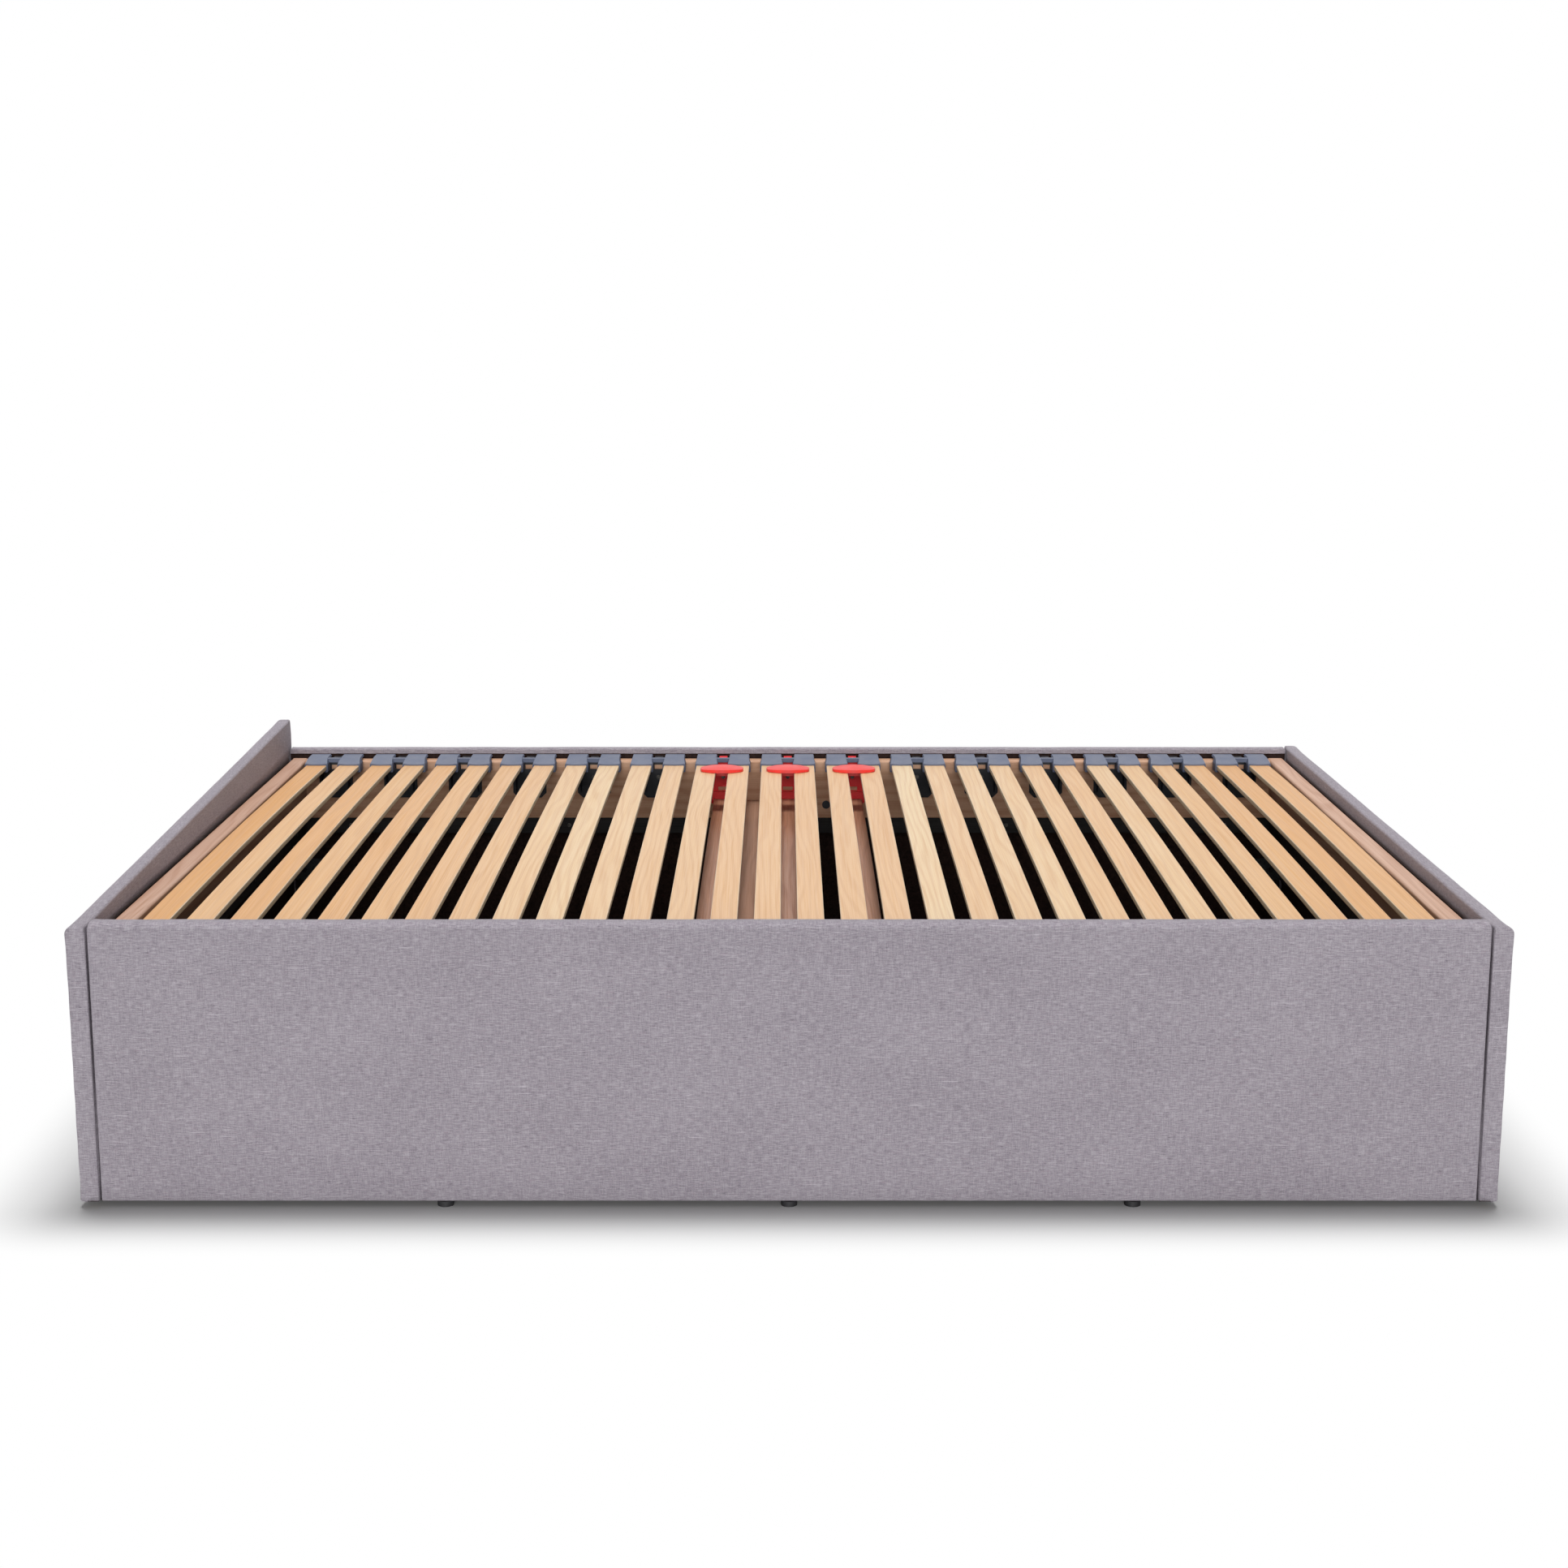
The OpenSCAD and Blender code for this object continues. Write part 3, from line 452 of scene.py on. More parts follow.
def plastic(name, base, worn_and_glint, rough=0.42, grain_size=0.6 * MM, texture=0.5, specular=0.5, dusty=0.10):
    """Moulded plastic: fine eroded texture, soft mottling, scuffs and dust. The worn tone tints the mottling
    and the scuffs; on the black holders it is also a painted highlight, for glints.
    """
    material, tree = new_material(name)
    place = put(tree, "TexCoord").outputs["Object"]

    def at(per_m, detail=2.0, warp=0.0):
        scaled = put(tree, "VectorMath", operation="SCALE", inputs={"Vector": place, "Scale": per_m})
        return cloud(tree, scaled.outputs[0], detail, warp)

    mottle = clamped(tree, at(38, 3.0), 0.3, 0.7)
    scuffs = clamped(tree, at(150, 4.0, 1.2), 0.62, 0.74)
    flow = clamped(tree, at(9, 2.0, 0.8), 0.35, 0.65)
    skin = at(1 / grain_size, 2.0)
    up = put(tree, "SeparateXYZ", {"Vector": put(tree, "TexCoord").outputs["Normal"]}).outputs["Z"]
    dust = calc(tree, "MULTIPLY", clamped(tree, up, 0.4, 1.0), calc(tree, "MULTIPLY", mottle, dusty))
    colour = tint(tree, calc(tree, "MULTIPLY", flow, 0.18), base, worn_and_glint)
    colour = tint(tree, calc(tree, "MULTIPLY", scuffs, 0.35), colour, worn_and_glint)
    colour = tint(tree, dust, colour, rgb("#C9C4BE"))
    roughness = total(tree, (0.10, mottle), (0.18, scuffs), (1.0, rough))
    height = total(tree, (texture, skin), (-0.4, scuffs))
    finish_material(tree, {
        "Base Color": colour,
        "Roughness": roughness,
        "Specular IOR Level": specular,
        "Normal": bump(tree, height, 0.06 * MM, 0.6),
    })
    return material


def metal(name, base, dull, rough=0.38):
    """Plated steel with fine drawn marks and dull spots."""
    material, tree = new_material(name)
    x, y, z = axes(tree)
    drawn = cloud(tree, stretched(tree, (x, 900), (y, 900), (z, 60)), 3.0)
    spots = clamped(tree, cloud(tree, stretched(tree, (x, 160), (y, 160), (z, 160)), 3.0, 0.8), 0.5, 0.7)
    colour = tint(tree, calc(tree, "MULTIPLY", spots, 0.6), base, dull)
    finish_material(tree, {
        "Base Color": colour,
        "Metallic": 1.0,
        "Roughness": total(tree, (0.2, spots), (0.12, drawn), (1.0, rough)),
        "Normal": bump(tree, drawn, 0.03 * MM, 0.4),
    })
    return material


def chipboard(name):
    """Pressed wood chips of mixed browns, with near-black coated faces: partly a real black coating and
    partly painted shade for the dark inside of the bed.
    """
    material, tree = new_material(name)
    place = put(tree, "TexCoord").outputs["Object"]

    def chips(scale, shoves_per_m):
        shoves = put(tree, "TexNoise", {"Vector": place, "Scale": shoves_per_m, "Detail": 1.0})
        inputs = {0: shoves.outputs["Color"], 1: (CHIP_SHOVE, CHIP_SHOVE, CHIP_SHOVE), 2: place}
        warped = put(tree, "VectorMath", inputs, operation="MULTIPLY_ADD")
        cells = put(tree, "TexVoronoi", {"Vector": warped.outputs[0], "Scale": scale, "Randomness": 1.0})
        return cells.outputs["Color"], cells.outputs["Distance"]

    big, big_edge = chips(190.0, 180.0)
    small, small_edge = chips(520.0, 220.0)
    big_tone = put(tree, "SeparateColor", {"Color": big}).outputs["Red"]
    small_tone = put(tree, "SeparateColor", {"Color": small}).outputs["Green"]
    tone = total(tree, (0.55, big_tone), (0.45, small_tone))
    colour = tint(tree, tone, rgb("#8A6B48"), rgb("#D9BE93"))
    colour = tint(tree, clamped(tree, small_tone, 0.86, 0.95), colour, rgb("#5B4028"))
    face_z = facing(tree)[2]
    # Painted shade: the coated faces are reddish black, partly their real coating and partly standing in for
    # the shade inside the bed.
    shade_coat = tint(tree, tone, rgb("#1E1412"), rgb("#35241F"))
    colour = tint(tree, clamped(tree, face_z, 0.5, 0.3), colour, shade_coat)
    finish_material(tree, {
        "Base Color": colour,
        "Roughness": pick(tree, tone, 0.92, 0.78),
        "Specular IOR Level": 0.2,
        "Normal": bump(tree, total(tree, (1.0, big_edge), (0.6, small_edge)), 0.25 * MM, 0.5),
    })
    return material


def fleece(name):
    """Black spunbonded lining, with its embossed dots."""
    material, tree = new_material(name)
    x, y = axes(tree)[:2]
    row = calc(tree, "SINE", calc(tree, "MULTIPLY", x, math.pi / DOT_PITCH))
    column = calc(tree, "SINE", calc(tree, "MULTIPLY", y, math.pi / DOT_PITCH))
    dots = clamped(tree, calc(tree, "ABSOLUTE", calc(tree, "MULTIPLY", row, column)), 0.45, 0.8)
    fibres = cloud(tree, stretched(tree, (x, 900), (y, 700)), 3.0, 1.5)
    clouds = cloud(tree, stretched(tree, (x, 14), (y, 14), 3.0), 3.0)
    tone = total(tree, (0.4, dots), (0.5, fibres), (0.3, clouds))
    finish_material(tree, {
        "Base Color": tint(tree, tone, rgb("#1A1013"), rgb("#30211F")),
        "Roughness": pick(tree, fibres, 0.98, 0.85),
        "Specular IOR Level": 0.2,
        "Normal": bump(tree, total(tree, (-1.0, dots), (0.6, fibres)), 0.12 * MM, 0.7),
    })
    return material


# One weave for the panels along X, and one for those along Y
WOVEN = {"X": woven("woven_cover_side", "X"), "Y": woven("woven_cover_end", "Y")}


def dress(nodes, material):
    """Gives CAD nodes their material."""
    for name in nodes:
        data = NODES[name].data
        data.materials.clear()
        data.materials.append(material)


def numbered(prefix):
    """The CAD nodes of that name, one for each pair of slats."""
    return [f"{prefix}_{number:02d}" for number in range(1, PAIR_COUNT + 1)]


def dress_wood():
    """Slats, rails, brace, battens and boards."""
    beech = (rgb("#F8E2B9"), rgb("#EEC394"), rgb("#C98F5A"))
    # Painted light: the warmer tone that the slats take towards both ends of the bed
    lit_gold = rgb("#E2A65E")
    dress(numbered("slat_pair"), wood(
        "slat_beech", "Y", *beech, contrast=0.75, pitch=SLAT_PITCH, plies=PLY_T, rough=0.42, lit_gold=lit_gold
    ))
    low = (rgb("#CFA285"), rgb("#BE8A6A"), rgb("#8A563C"))
    dress(["reinforcement_slats"], wood("reinforcement_beech", "Y", *low, pitch=2 * SLAT_PITCH, rough=0.38))
    pink = (rgb("#E3BFA3"), rgb("#D9AC8B"), rgb("#A56F4C"))
    dress(["base_side_rails"], wood("side_rail_wood", "X", *pink, bands=50.0))
    ends = (rgb("#D0AA93"), rgb("#E0BAA2"), rgb("#A97556"))
    dress(["base_end_rails"], wood("end_rail_wood", "Y", *ends, bands=50.0, two_tone=True))
    brown = (rgb("#BE957B"), rgb("#B08469"), rgb("#7E573F"))
    dress(["cross_brace"], wood("brace_wood", "Y", *brown, bands=40.0, rough=0.55))
    # Painted shade: the battens are near black, standing in for the deep shade under the slatted base.
    painted_shade_tones = (rgb("#1B1716"), rgb("#141011"), rgb("#0A0808"))
    dress(["ledge_battens"], wood("batten_wood", "X", *painted_shade_tones, bands=60.0, rough=0.7))
    dress(BOARDS, chipboard("panel_board"))


def dress_plastic():
    """Twin caps, holders, sliders and glides."""
    dress(numbered("twin_caps"), plastic(
        "cap_rubber", rgb("#5A6279"), rgb("#80879A"), rough=0.5, texture=0.7, specular=0.4
    ))
    fine = 0.5 * MM
    # Painted highlight: the bluish worn tone of the black holders stands in for glints on them, beside real
    # scuffs.
    dress(["slat_holders"], plastic(
        "holder_black", rgb("#121319"), rgb("#30333F"), rough=0.32, grain_size=fine, specular=0.4, dusty=0.02
    ))
    dress(["adjuster_holders"], plastic(
        "holder_red", rgb("#EE1420"), rgb("#F23A40"), rough=0.36, grain_size=fine, dusty=0.01
    ))
    dress(["slider_07", "slider_08", "slider_09"], plastic(
        "slider_red", rgb("#F0312C"), rgb("#FA5C55"), rough=0.36, grain_size=fine, texture=0.3, dusty=0.01
    ))
    dress(["glides"], plastic("glide_plastic", rgb("#1E1E20"), rgb("#47464A"), rough=0.5))


def dress_metal():
    """Brackets, bolts and screws."""
    # Painted shade: the brackets, bolts and screws are darker than bare zinc-plated steel, standing in for
    # the shade in the gaps inside the bed where they sit.
    dress(["corner_brackets"], metal("bracket_steel", rgb("#4C4E51"), rgb("#343639"), rough=0.5))
    dress(["bolts"], metal("bolt_steel", rgb("#3A3B3E"), rgb("#242527"), rough=0.42))
    dress(["wood_screws"], metal("screw_steel", rgb("#5C5A56"), rgb("#43413D"), rough=0.4))


# Meshes

def link_object(name, data):
    """A new object in the scene."""
    thing = bpy.data.objects.new(name, data)
    bpy.context.scene.collection.objects.link(thing)
    return thing


def joined(verts, faces):
    """A shape from its corners and faces, with touching corners joined."""
    shape = bmesh.new()
    corners = [shape.verts.new(v) for v in verts]
    for face in faces:
        shape.faces.new([corners[i] for i in face])
    bmesh.ops.remove_doubles(shape, verts=shape.verts, dist=JOIN)
    return shape


def add_mesh(name, verts, faces, material, smooth=True):
    """A piece that rides on the bed, from its corners and faces."""
    shape = joined(verts, faces)
    bmesh.ops.dissolve_degenerate(shape, edges=shape.edges, dist=JOIN)
    bmesh.ops.recalc_face_normals(shape, faces=shape.faces)
    data = bpy.data.meshes.new(name)
    shape.to_mesh(data)
    shape.free()
    for polygon in data.polygons:
        polygon.use_smooth = smooth
    data.materials.append(material)
    piece = link_object(name, data)
    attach(piece, BODY)
    return piece


def smooth_step(value, reach):
    """0 at 0, 1 from reach on."""
    t = min(max(value / reach, 0.0), 1.0)
    return t * t * (3 - 2 * t)


def settled(points, backing, faces, held):
    """Cloth simulation of a cover that is pulled tight over foam and stapled along its hems.

    The foam presses from inside. No point moves further than CLOTH_CAP, and none comes closer
    than CLOTH_ROOM to its point on the board.
    """
    scene = bpy.context.scene
    data = bpy.data.meshes.new("cloth")
    data.from_pydata(points, [], faces)
    cloth_object = link_object("cloth", data)
    cloth_object.vertex_groups.new(name="stapled").add(held, 1.0, "REPLACE")
    cloth = cloth_object.modifiers.new("cloth", "CLOTH")
    cloth.point_cache.frame_start = 1
    cloth.point_cache.frame_end = CLOTH_FRAMES
    settings = cloth.settings
    settings.vertex_group_mass = "stapled"
    settings.use_pressure = True
    settings.uniform_pressure_force = CLOTH_PRESSURE
    settings.shrink_min = CLOTH_SHRINK
    settings.tension_stiffness = CLOTH_STRETCH
    settings.compression_stiffness = CLOTH_STRETCH
    settings.shear_stiffness = CLOTH_SHEAR
    settings.bending_stiffness = CLOTH_BENDING
    settings.effector_weights.gravity = 0.0
    cloth.collision_settings.use_collision = False
    for number in range(1, CLOTH_FRAMES + 1):
        scene.frame_set(number)
    solved = cloth_object.evaluated_get(bpy.context.evaluated_depsgraph_get())
    ends = [v.co.copy() for v in solved.data.vertices]
    scene.frame_set(1)
    bpy.data.objects.remove(cloth_object)
    bpy.data.meshes.remove(data)
    out = []
    for start, base, end in zip(points, backing, ends):
        move = end - start
        if move.length > CLOTH_CAP:
            move *= CLOTH_CAP / move.length
        away = start - base
        room = max(away.length - CLOTH_ROOM, 0.0)
        inwards = -move.dot(away.normalized())
        if inwards > room:
            move += away.normalized() * (inwards - room)
        out.append(start + move)
    return out


class Panel:
    """One padded panel in its own frame: x along it, +y its outer face, z up from its lower edge."""

    def __init__(self, name, turn, corner_drop, wrap=0.0, sink=TOP_SINK):
        self.name = name
        self.corner_drop = corner_drop
        self.wrap = wrap
        self.sink = sink
        self.seed = 1.0 + 10.0 * PANELS.index(name)
        low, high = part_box(f"{name}_cover")
        self.along = "X" if turn in (0, 180) else "Y"
        self.length = high.x - low.x if self.along == "X" else high.y - low.y
        middle = (low + high) / 2
        turned = Matrix.Rotation(math.radians(turn), 4, "Z")
        self.place = Matrix.Translation((middle.x, middle.y, low.z)) @ turned
        self.tops = [self.top_at(end, "cover") for end in (-1, 1)]
        self.board_tops = [self.top_at(end, "board") for end in (-1, 1)]
        self.rim = self.inner_rim()

    def packed_points(self, part):
        """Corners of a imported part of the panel, in the panel's own frame."""
        back = self.place.inverted()
        return [back @ v.co for v in NODES[f"{self.name}_{part}"].data.vertices]

    def top_at(self, end, part):
        """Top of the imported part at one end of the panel."""
        points = self.packed_points(part)
        reach = max(end * p.x for p in points)
        return max(p.z for p in points if end * p.x > reach - END_SLICE)

    def inner_rim(self):
        """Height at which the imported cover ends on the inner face."""
        inner = -PANEL_T / 2
        upper = min(self.tops) / 2
        return min(p.z for p in self.packed_points("cover") if p.y < inner + ON_FACE and p.z > upper)

    def between(self, ends, x):
        """A value that runs evenly from the one end of the panel to the other."""
        share = x / self.length + 0.5
        return ends[0] + (ends[1] - ends[0]) * share

    def stations(self):
        """Places along the panel and how far its outline is pulled in there: dense round both ends."""
        half = self.length / 2
        ends = []
        for angle in QUARTER:
            ends.append((half - END_R * (1 - math.cos(angle)), END_R * (1 - math.sin(angle))))
        ends += [(half - END_R - gap, 0.0) for gap in END_STATIONS]
        inner = ends[-1][0]
        count = round(2 * inner / STATION)
        middle = [(-inner + 2 * inner * i / count, 0.0) for i in range(1, count)]
        left = [(-x, pull) for x, pull in ends]
        return left + middle + ends[::-1]

    def height_at(self, x):
        """Height of the section at a place along the panel, lower at both ends."""
        height = self.between(self.tops, x)
        end_gap = self.length / 2 - abs(x)
        if end_gap < self.corner_drop:
            rest = self.corner_drop - end_gap
            height -= self.corner_drop - math.sqrt(self.corner_drop ** 2 - rest ** 2)
        return height

    def half_outline(self, x, pull, side):
        """Half of the section from its lower edge to the middle of its top.

        `side` is 1 for the outer half and -1 for the inner one, whose upper rows lie above the
        rim of the cover.
        """
        height = self.height_at(x)
        half = PANEL_T / 2
        radius = OUTER_R if side > 0 else INNER_R
        top_r = radius - pull
        bottom_r = BOTTOM_R - pull
        points = []
        for angle in QUARTER:
            y = half - BOTTOM_R + bottom_r * math.sin(angle)
            points.append((side * y, BOTTOM_R - bottom_r * math.cos(angle)))
        low, high = BOTTOM_R, height - radius
        rim = low if side > 0 else min(self.rim, high - INSIDE_LEAST)
        upper = FACE_ROWS if side > 0 else INSIDE_ROWS
        lower = FACE_ROWS - upper
        levels = [low + (rim - low) * row / lower for row in range(1, lower + 1)]
        levels += [rim + (high - rim) * row / upper for row in range(1, upper)]
        points += [(side * (half - pull), z) for z in levels]
        for angle in QUARTER:
            points.append((side * (half - radius + top_r * math.cos(angle)), high + top_r * math.sin(angle)))
        points += [(side * (half - radius) / 2, height - pull), (0.0, height - pull)]
        return points

    def softened(self, x, y, z):
        """A point of the cover after the fabric has settled: pulled in at its edges, slightly uneven."""
        height = self.between(self.tops, x)
        end_gap = self.length / 2 - abs(x)
        edge_gap = min(end_gap, z, height - z)
        outer = min(max(y / (PANEL_T / 2), 0.0), 1.0)
        pull = EDGE_PULL * (1 - smooth_step(edge_gap, PULL_REACH))
        wave = WAVE * noise.noise(Vector((WAVES_PER_M[0] * x, self.seed, WAVES_PER_M[1] * z)))
        ripple_place = Vector((RIPPLES_PER_M[0] * x, 3.3 + self.seed, RIPPLES_PER_M[1] * z))
        wave += 0.5 * WAVE * noise.noise(ripple_place)
        by_hem = 1 - smooth_step(z, HEM_REACH)
        by_end = 1 - smooth_step(end_gap, END_REACH)
        pucker = by_hem * math.sin(2 * math.pi * x / PUCKER_PITCH + self.seed)
        pucker += by_end * math.sin(2 * math.pi * z / PUCKER_PITCH + 2 * self.seed)
        wave *= smooth_step(edge_gap, WAVE_REACH)
        inwards = outer * (pull + PUCKER * (0.5 + 0.5 * pucker) - wave)
        by_top = smooth_step(z - height + TOP_BAND, TOP_REACH)
        top_wave = TOP_WAVE * noise.noise(Vector((TOP_WAVES_PER_M * x, self.seed + 7.7, 0.0)))
        sink = by_top * (self.sink + top_wave)
        return Vector((x, y - inwards, z - sink))

    def on_board(self, point):
        """The nearest point of the board, where the padding ends."""
        half = self.length / 2 - COVER_T
        x = min(max(point.x, -half), half)
        inner = -PANEL_T / 2 + COVER_T
        y = min(max(point.y, inner), inner + BOARD_T)
        z = min(max(point.z, COVER_T), self.between(self.board_tops, x))
        return Vector((x, y, z))

    def outside(self):
        """Corners and faces of the cover, open where the board is bare."""
        verts = []
        faces = []
        stations = self.stations()
        for x, pull in stations:
            hem = (PANEL_T / 2 - HEM, pull)
            outer = self.half_outline(x, pull, 1)
            inner = self.half_outline(x, pull, -1)[ARC_STEPS:-1]
            verts += [(x, y, z) for y, z in [hem] + outer + inner[::-1]]
        ring_size = len(verts) // len(stations)
        cover_end = ring_size - 1 - FACE_ROWS + INSIDE_ROWS
        for i in range(len(stations) - 1):
            end_gap = self.length / 2 - min(abs(stations[i][0]), abs(stations[i + 1][0]))
            last = ring_size - 1 if end_gap < self.wrap else cover_end
            for k in range(last):
                a = i * ring_size + k
                faces.append((a, a + 1, a + ring_size + 1, a + ring_size))
        for x, pull in (stations[0], stations[-1]):
            self.close_end(verts, faces, x, pull)
        return verts, faces

    def close_end(self, verts, faces, x, pull):
        """The cover over one end of the panel."""
        outer = self.half_outline(x, pull, 1)
        inner = self.half_outline(x, pull, -1)
        hem_share = (PANEL_T / 2 - HEM) / outer[0][0]
        columns = (1.0, hem_share, -hem_share, -1.0)
        rows = list(zip(outer, inner))
        start = len(verts)
        for (y_out, z_out), (y_in, z_in) in rows:
            for share in columns:
                y = (y_out + y_in) / 2 + share * (y_out - y_in) / 2
                z = (z_out + z_in) / 2 + share * (z_out - z_in) / 2
                verts.append((x, y, z))
        size = len(columns)
        for k in range(len(rows) - 1):
            for c in range(size - 1):
                a = start + k * size + c
                faces.append((a, a + 1, a + size + 1, a + size))

    def build(self):
        """The padded cover: its outside, the same surface laid on the board, and the rims between."""
        outline, faces = self.outside()
        shape = joined(outline, faces)
        bmesh.ops.delete(shape, geom=[v for v in shape.verts if not v.link_faces], context="VERTS")
        bmesh.ops.recalc_face_normals(shape, faces=shape.faces)
        shape.verts.index_update()
        shape.verts.ensure_lookup_table()
        count = len(shape.verts)
        outer = [self.softened(*v.co) for v in shape.verts]
        inner = [self.on_board(v.co) for v in shape.verts]
        skins = [[v.index for v in f.verts] for f in shape.faces]
        rims = [[loop.vert.index, loop.link_loop_next.vert.index]
                for edge in shape.edges if edge.is_boundary for loop in edge.link_loops]
        held = sorted({i for rim in rims for i in rim})
        shape.free()
        outer = settled(outer, inner, skins, held)
        verts = [self.place @ v for v in outer + inner]
        faces = list(skins)
        faces += [[i + count for i in reversed(face)] for face in skins]
        faces += [[b, a, a + count, b + count] for a, b in rims]
        piece = add_mesh(f"{self.name}_upholstery", verts, faces, WOVEN[self.along])
        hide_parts(f"{self.name}_cover", f"{self.name}_foam")


def make_lining():
    """Lining sheet, stretched under the boards, with a little sag between them."""
    low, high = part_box("bottom_lining")
    size = high - low
    columns = round(size.x / LINING_CELL)
    rows = round(size.y / LINING_CELL)
    verts = []
    for i in range(columns + 1):
        for j in range(rows + 1):
            s, t = i / columns, j / rows
            give = smooth_step(min(s, 1 - s) * size.x, SAG_REACH)
            give *= smooth_step(min(t, 1 - t) * size.y, SAG_REACH)
            ripple = SAG_RIPPLE * noise.noise(Vector((9 * s, 7 * t, 2.0)))
            z = low.z + LINING_RISE - give * (SAG + ripple)
            verts.append((low.x + s * size.x, low.y + t * size.y, z))
    faces = []
    for i in range(columns):
        for j in range(rows):
            a = i * (rows + 1) + j
            faces.append((a, a + rows + 1, a + rows + 2, a + 1))
    piece = add_mesh("lining_sheet", verts, faces, fleece("lining_fleece"))
    thicken = piece.modifiers.new("thickness", "SOLIDIFY")
    thicken.thickness = LINING_T
    thicken.offset = 0.0
    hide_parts("bottom_lining")


def staple(verts, faces, x, y, half):
    """Adds one staple that lies flat, with its lower edges bevelled. `half` is half its size."""
    top = FLOOR_GAP + STAPLE_SINK
    low = top - STAPLE_DEPTH
    start = len(verts)
    for grow, z in ((0.0, top), (0.0, low + STAPLE_BEVEL), (-STAPLE_BEVEL, low)):
        for sx, sy in ((-1, -1), (1, -1), (1, 1), (-1, 1)):
            verts.append((x + sx * (half[0] + grow), y + sy * (half[1] + grow), z))
    for ring in (0, 4):
        for c in range(4):
            a, b = start + ring + c, start + ring + (c + 1) % 4
            faces.append((a, b, b + 4, a + 4))
    faces.append(tuple(start + 8 + c for c in range(4)))
    faces.append(tuple(start + c for c in range(4)))


def staple_row(length):
    """Places of the staples along one edge of the lining, from its middle."""
    span = length - 2 * STAPLE_MARGIN
    count = round(span / STAPLE_PITCH)
    return [(i / count - 0.5) * span for i in range(count + 1)]


def make_staples():
    """Staples that hold the hems and the lining to the undersides of the boards."""
    low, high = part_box("bottom_lining")
    long, thin = STAPLE_CROWN / 2, STAPLE_WIRE / 2
    verts = []
    faces = []
    for side in (-1, 1):
        for x in staple_row(high.x - low.x):
            staple(verts, faces, x, side * (high.y - STAPLE_INSET), (long, thin))
        for y in staple_row(high.y - low.y):
            staple(verts, faces, side * (high.x - STAPLE_INSET), y, (thin, long))
    wire = metal("staple_wire", rgb("#B5B3AE"), rgb("#85827D"))
    piece = add_mesh("hem_staples", verts, faces, wire, smooth=False)


# Studio

def make_camera():
    """The camera that was fitted to the photograph."""
    lens = bpy.data.cameras.new("camera")
    lens.lens = CAMERA_LENS
    lens.sensor_width = SENSOR
    lens.clip_end = 100.0
    camera = link_object("camera", lens)
    camera.location = CAMERA_PLACE
    camera.rotation_euler = (math.radians(90 - CAMERA_PITCH), 0.0, 0.0)
    bpy.context.scene.camera = camera


def make_lamp(name, side, height, width, level):
    """Soft distant light. `side` is where it comes from along Y, `height` and `width` are degrees.

    A white surface that faces a lamp of level 1 renders white.
    """
    lamp = bpy.data.lights.new(name, "SUN")
    lamp.energy = math.pi * level
    lamp.angle = math.radians(width)
    holder = link_object(name, lamp)
    rise = math.radians(height)
    way = Vector((0.0, side * math.cos(rise), math.sin(rise)))
    holder.location = LAMP_DISTANCE * way
    holder.rotation_euler = way.to_track_quat("Z", "Y").to_euler()


def make_world():
    """White where it is seen, and a plain grey level as light."""
    world = bpy.data.worlds.new("studio")
    bpy.context.scene.world = world
    world.use_nodes = True
    tree = world.node_tree
    tree.nodes.clear()
    rays = put(tree, "LightPath")
    seen = calc(tree, "MAXIMUM", rays.outputs["Is Camera Ray"], rays.outputs["Is Glossy Ray"])
    seen = calc(tree, "MAXIMUM", seen, rays.outputs["Is Transmission Ray"])
    light = put(tree, "Background", {"Color": WHITE, "Strength": WORLD_LEVEL})
    shown = put(tree, "Background", {"Color": WHITE, "Strength": 1.0})
    mix = put(tree, "MixShader", {0: seen, 1: light.outputs[0], 2: shown.outputs[0]})
    out = put(tree, "OutputWorld")
    tree.links.new(mix.outputs[0], out.inputs["Surface"])


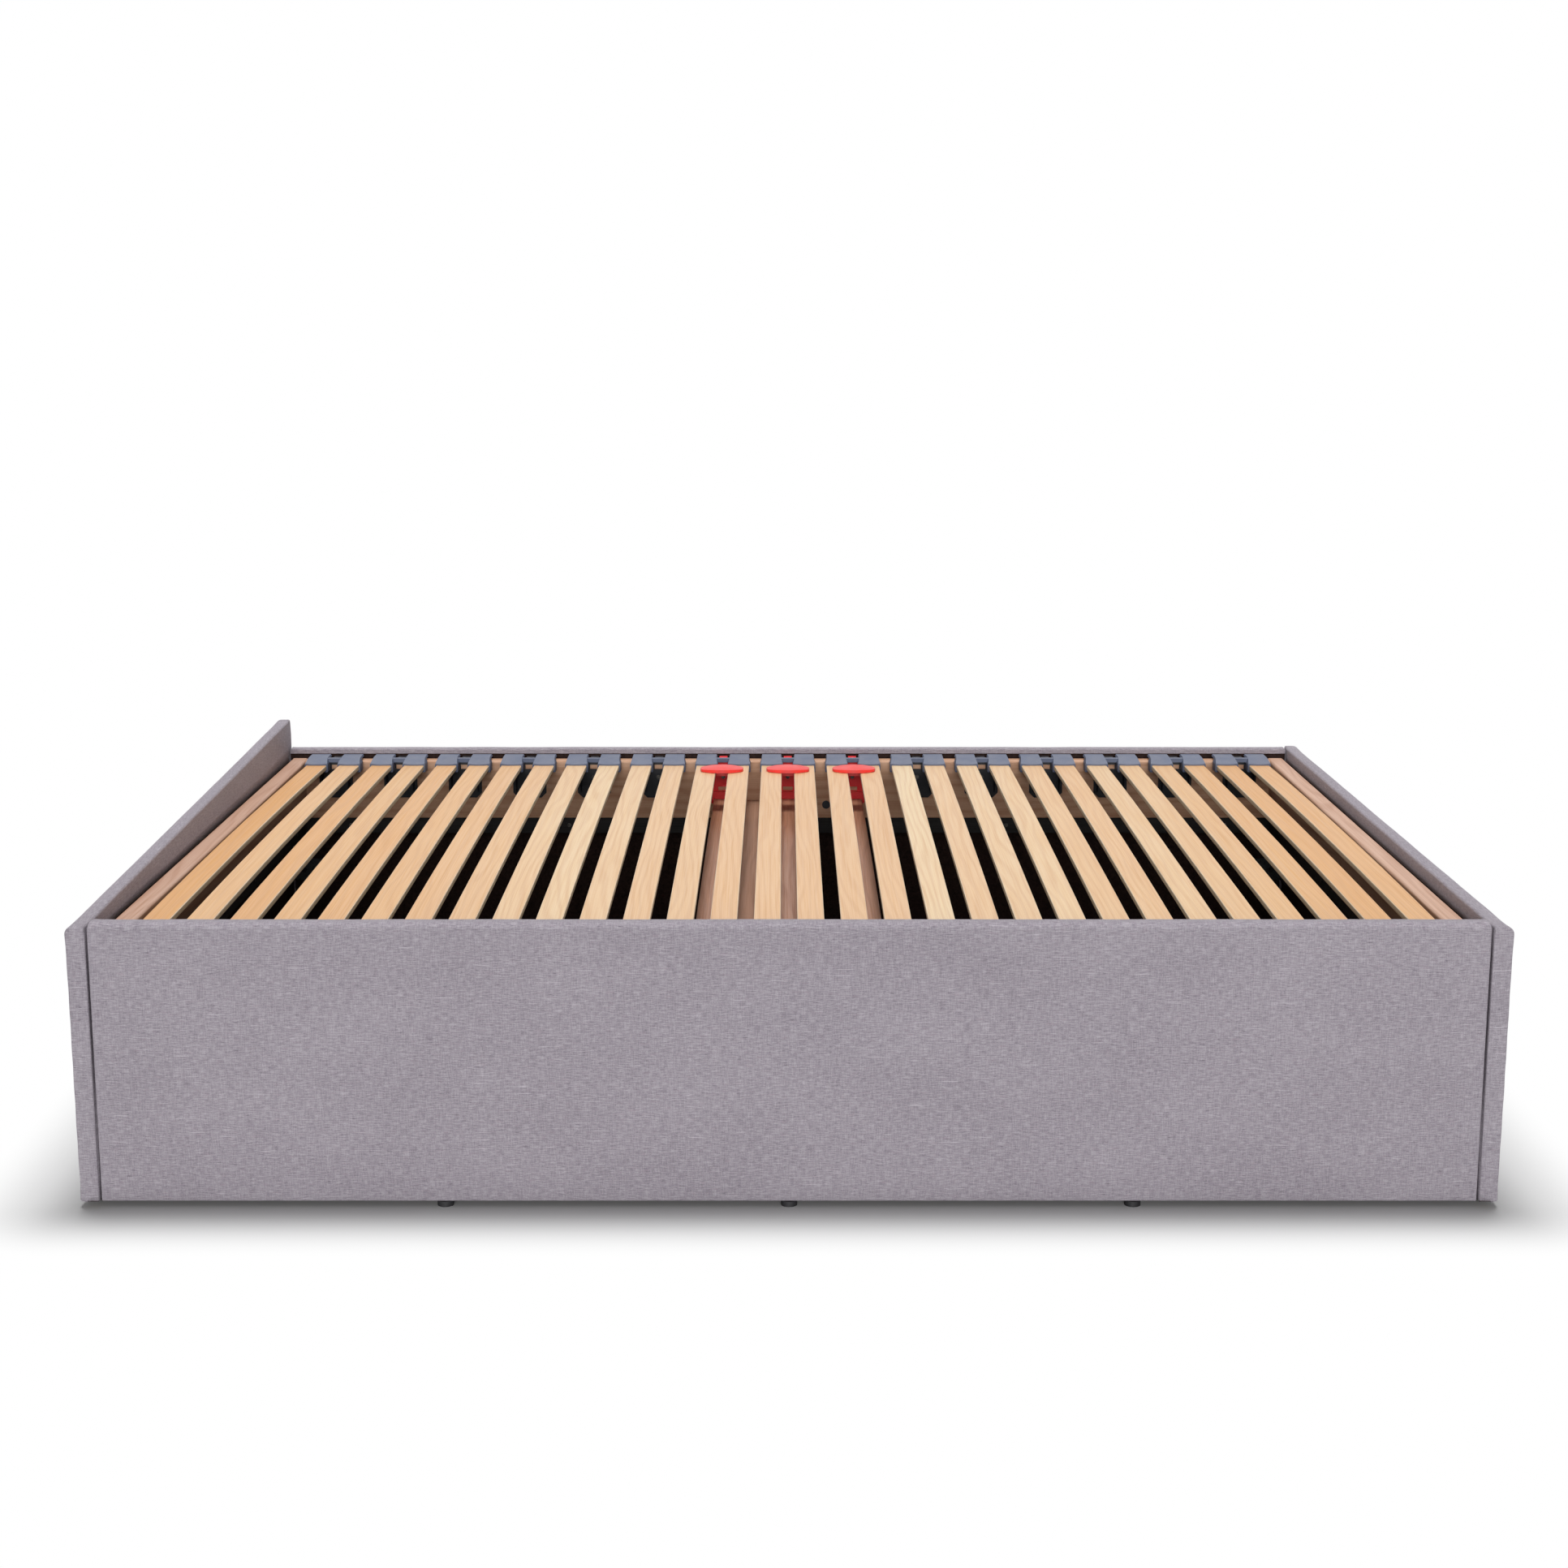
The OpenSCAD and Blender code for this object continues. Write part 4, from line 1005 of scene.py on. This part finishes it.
def make_floor():
    """Pale floor: lit and shadowed round the bed, where its grey paint adds painted shade that fades out
    with distance from the bed, and white like the background further away.
    """
    material, tree = new_material("floor_white")
    rays = put(tree, "LightPath")
    seen = calc(tree, "MAXIMUM", rays.outputs["Is Camera Ray"], rays.outputs["Is Glossy Ray"])
    gaps = []
    for place, half in zip(axes(tree), CAD_BOUNDS[1][:2]):
        gap = calc(tree, "SUBTRACT", calc(tree, "ABSOLUTE", place), half)
        gap = calc(tree, "MAXIMUM", gap, 0.0)
        gaps.append(calc(tree, "MULTIPLY", gap, gap))
    away = calc(tree, "SQRT", calc(tree, "ADD", *gaps))
    fade = calc(tree, "MULTIPLY", seen, clamped(tree, away, 0.0, FLOOR_FADE))
    # Painted shade: the grey paint darkens the floor round the bed beside the real shadow, and gives way to
    # white over FLOOR_FADE.
    shade_paint = put(tree, "BsdfDiffuse", {"Color": (FLOOR_SHADE_TONE, FLOOR_SHADE_TONE, FLOOR_SHADE_TONE, 1.0), "Roughness": 0.0})
    shown = put(tree, "Emission", {"Color": WHITE, "Strength": 1.0})
    mix = put(tree, "MixShader", {0: fade, 1: shade_paint.outputs[0], 2: shown.outputs[0]})
    out = put(tree, "OutputMaterial")
    tree.links.new(mix.outputs[0], out.inputs["Surface"])
    data = bpy.data.meshes.new("floor")
    corners = [(FLOOR_REACH * x, FLOOR_REACH * y, 0) for x, y in ((-1, -1), (1, -1), (1, 1), (-1, 1))]
    data.from_pydata(corners, [], [(0, 1, 2, 3)])
    data.materials.append(material)
    floor = link_object("floor", data)


def set_colours():
    """Plain colours, without a film look."""
    bpy.context.scene.view_settings.view_transform = "Standard"


set_colours()
make_camera()
make_world()
make_lamp("top_light", 1, TOP_HEIGHT, TOP_WIDTH, TOP_LEVEL)
make_lamp("front_light", -1, FRONT_HEIGHT, FRONT_WIDTH, FRONT_LEVEL)
make_floor()
dress_wood()
dress_plastic()
dress_metal()
Panel("front_rail", 180, corner_drop=7 * MM, sink=1.3 * MM).build()
Panel("rear_rail", 0, corner_drop=3 * MM).build()
Panel("head_panel", 90, corner_drop=2 * MM, wrap=END_WRAP).build()
Panel("foot_panel", -90, corner_drop=2 * MM, wrap=END_WRAP).build()
make_lining()
make_staples()
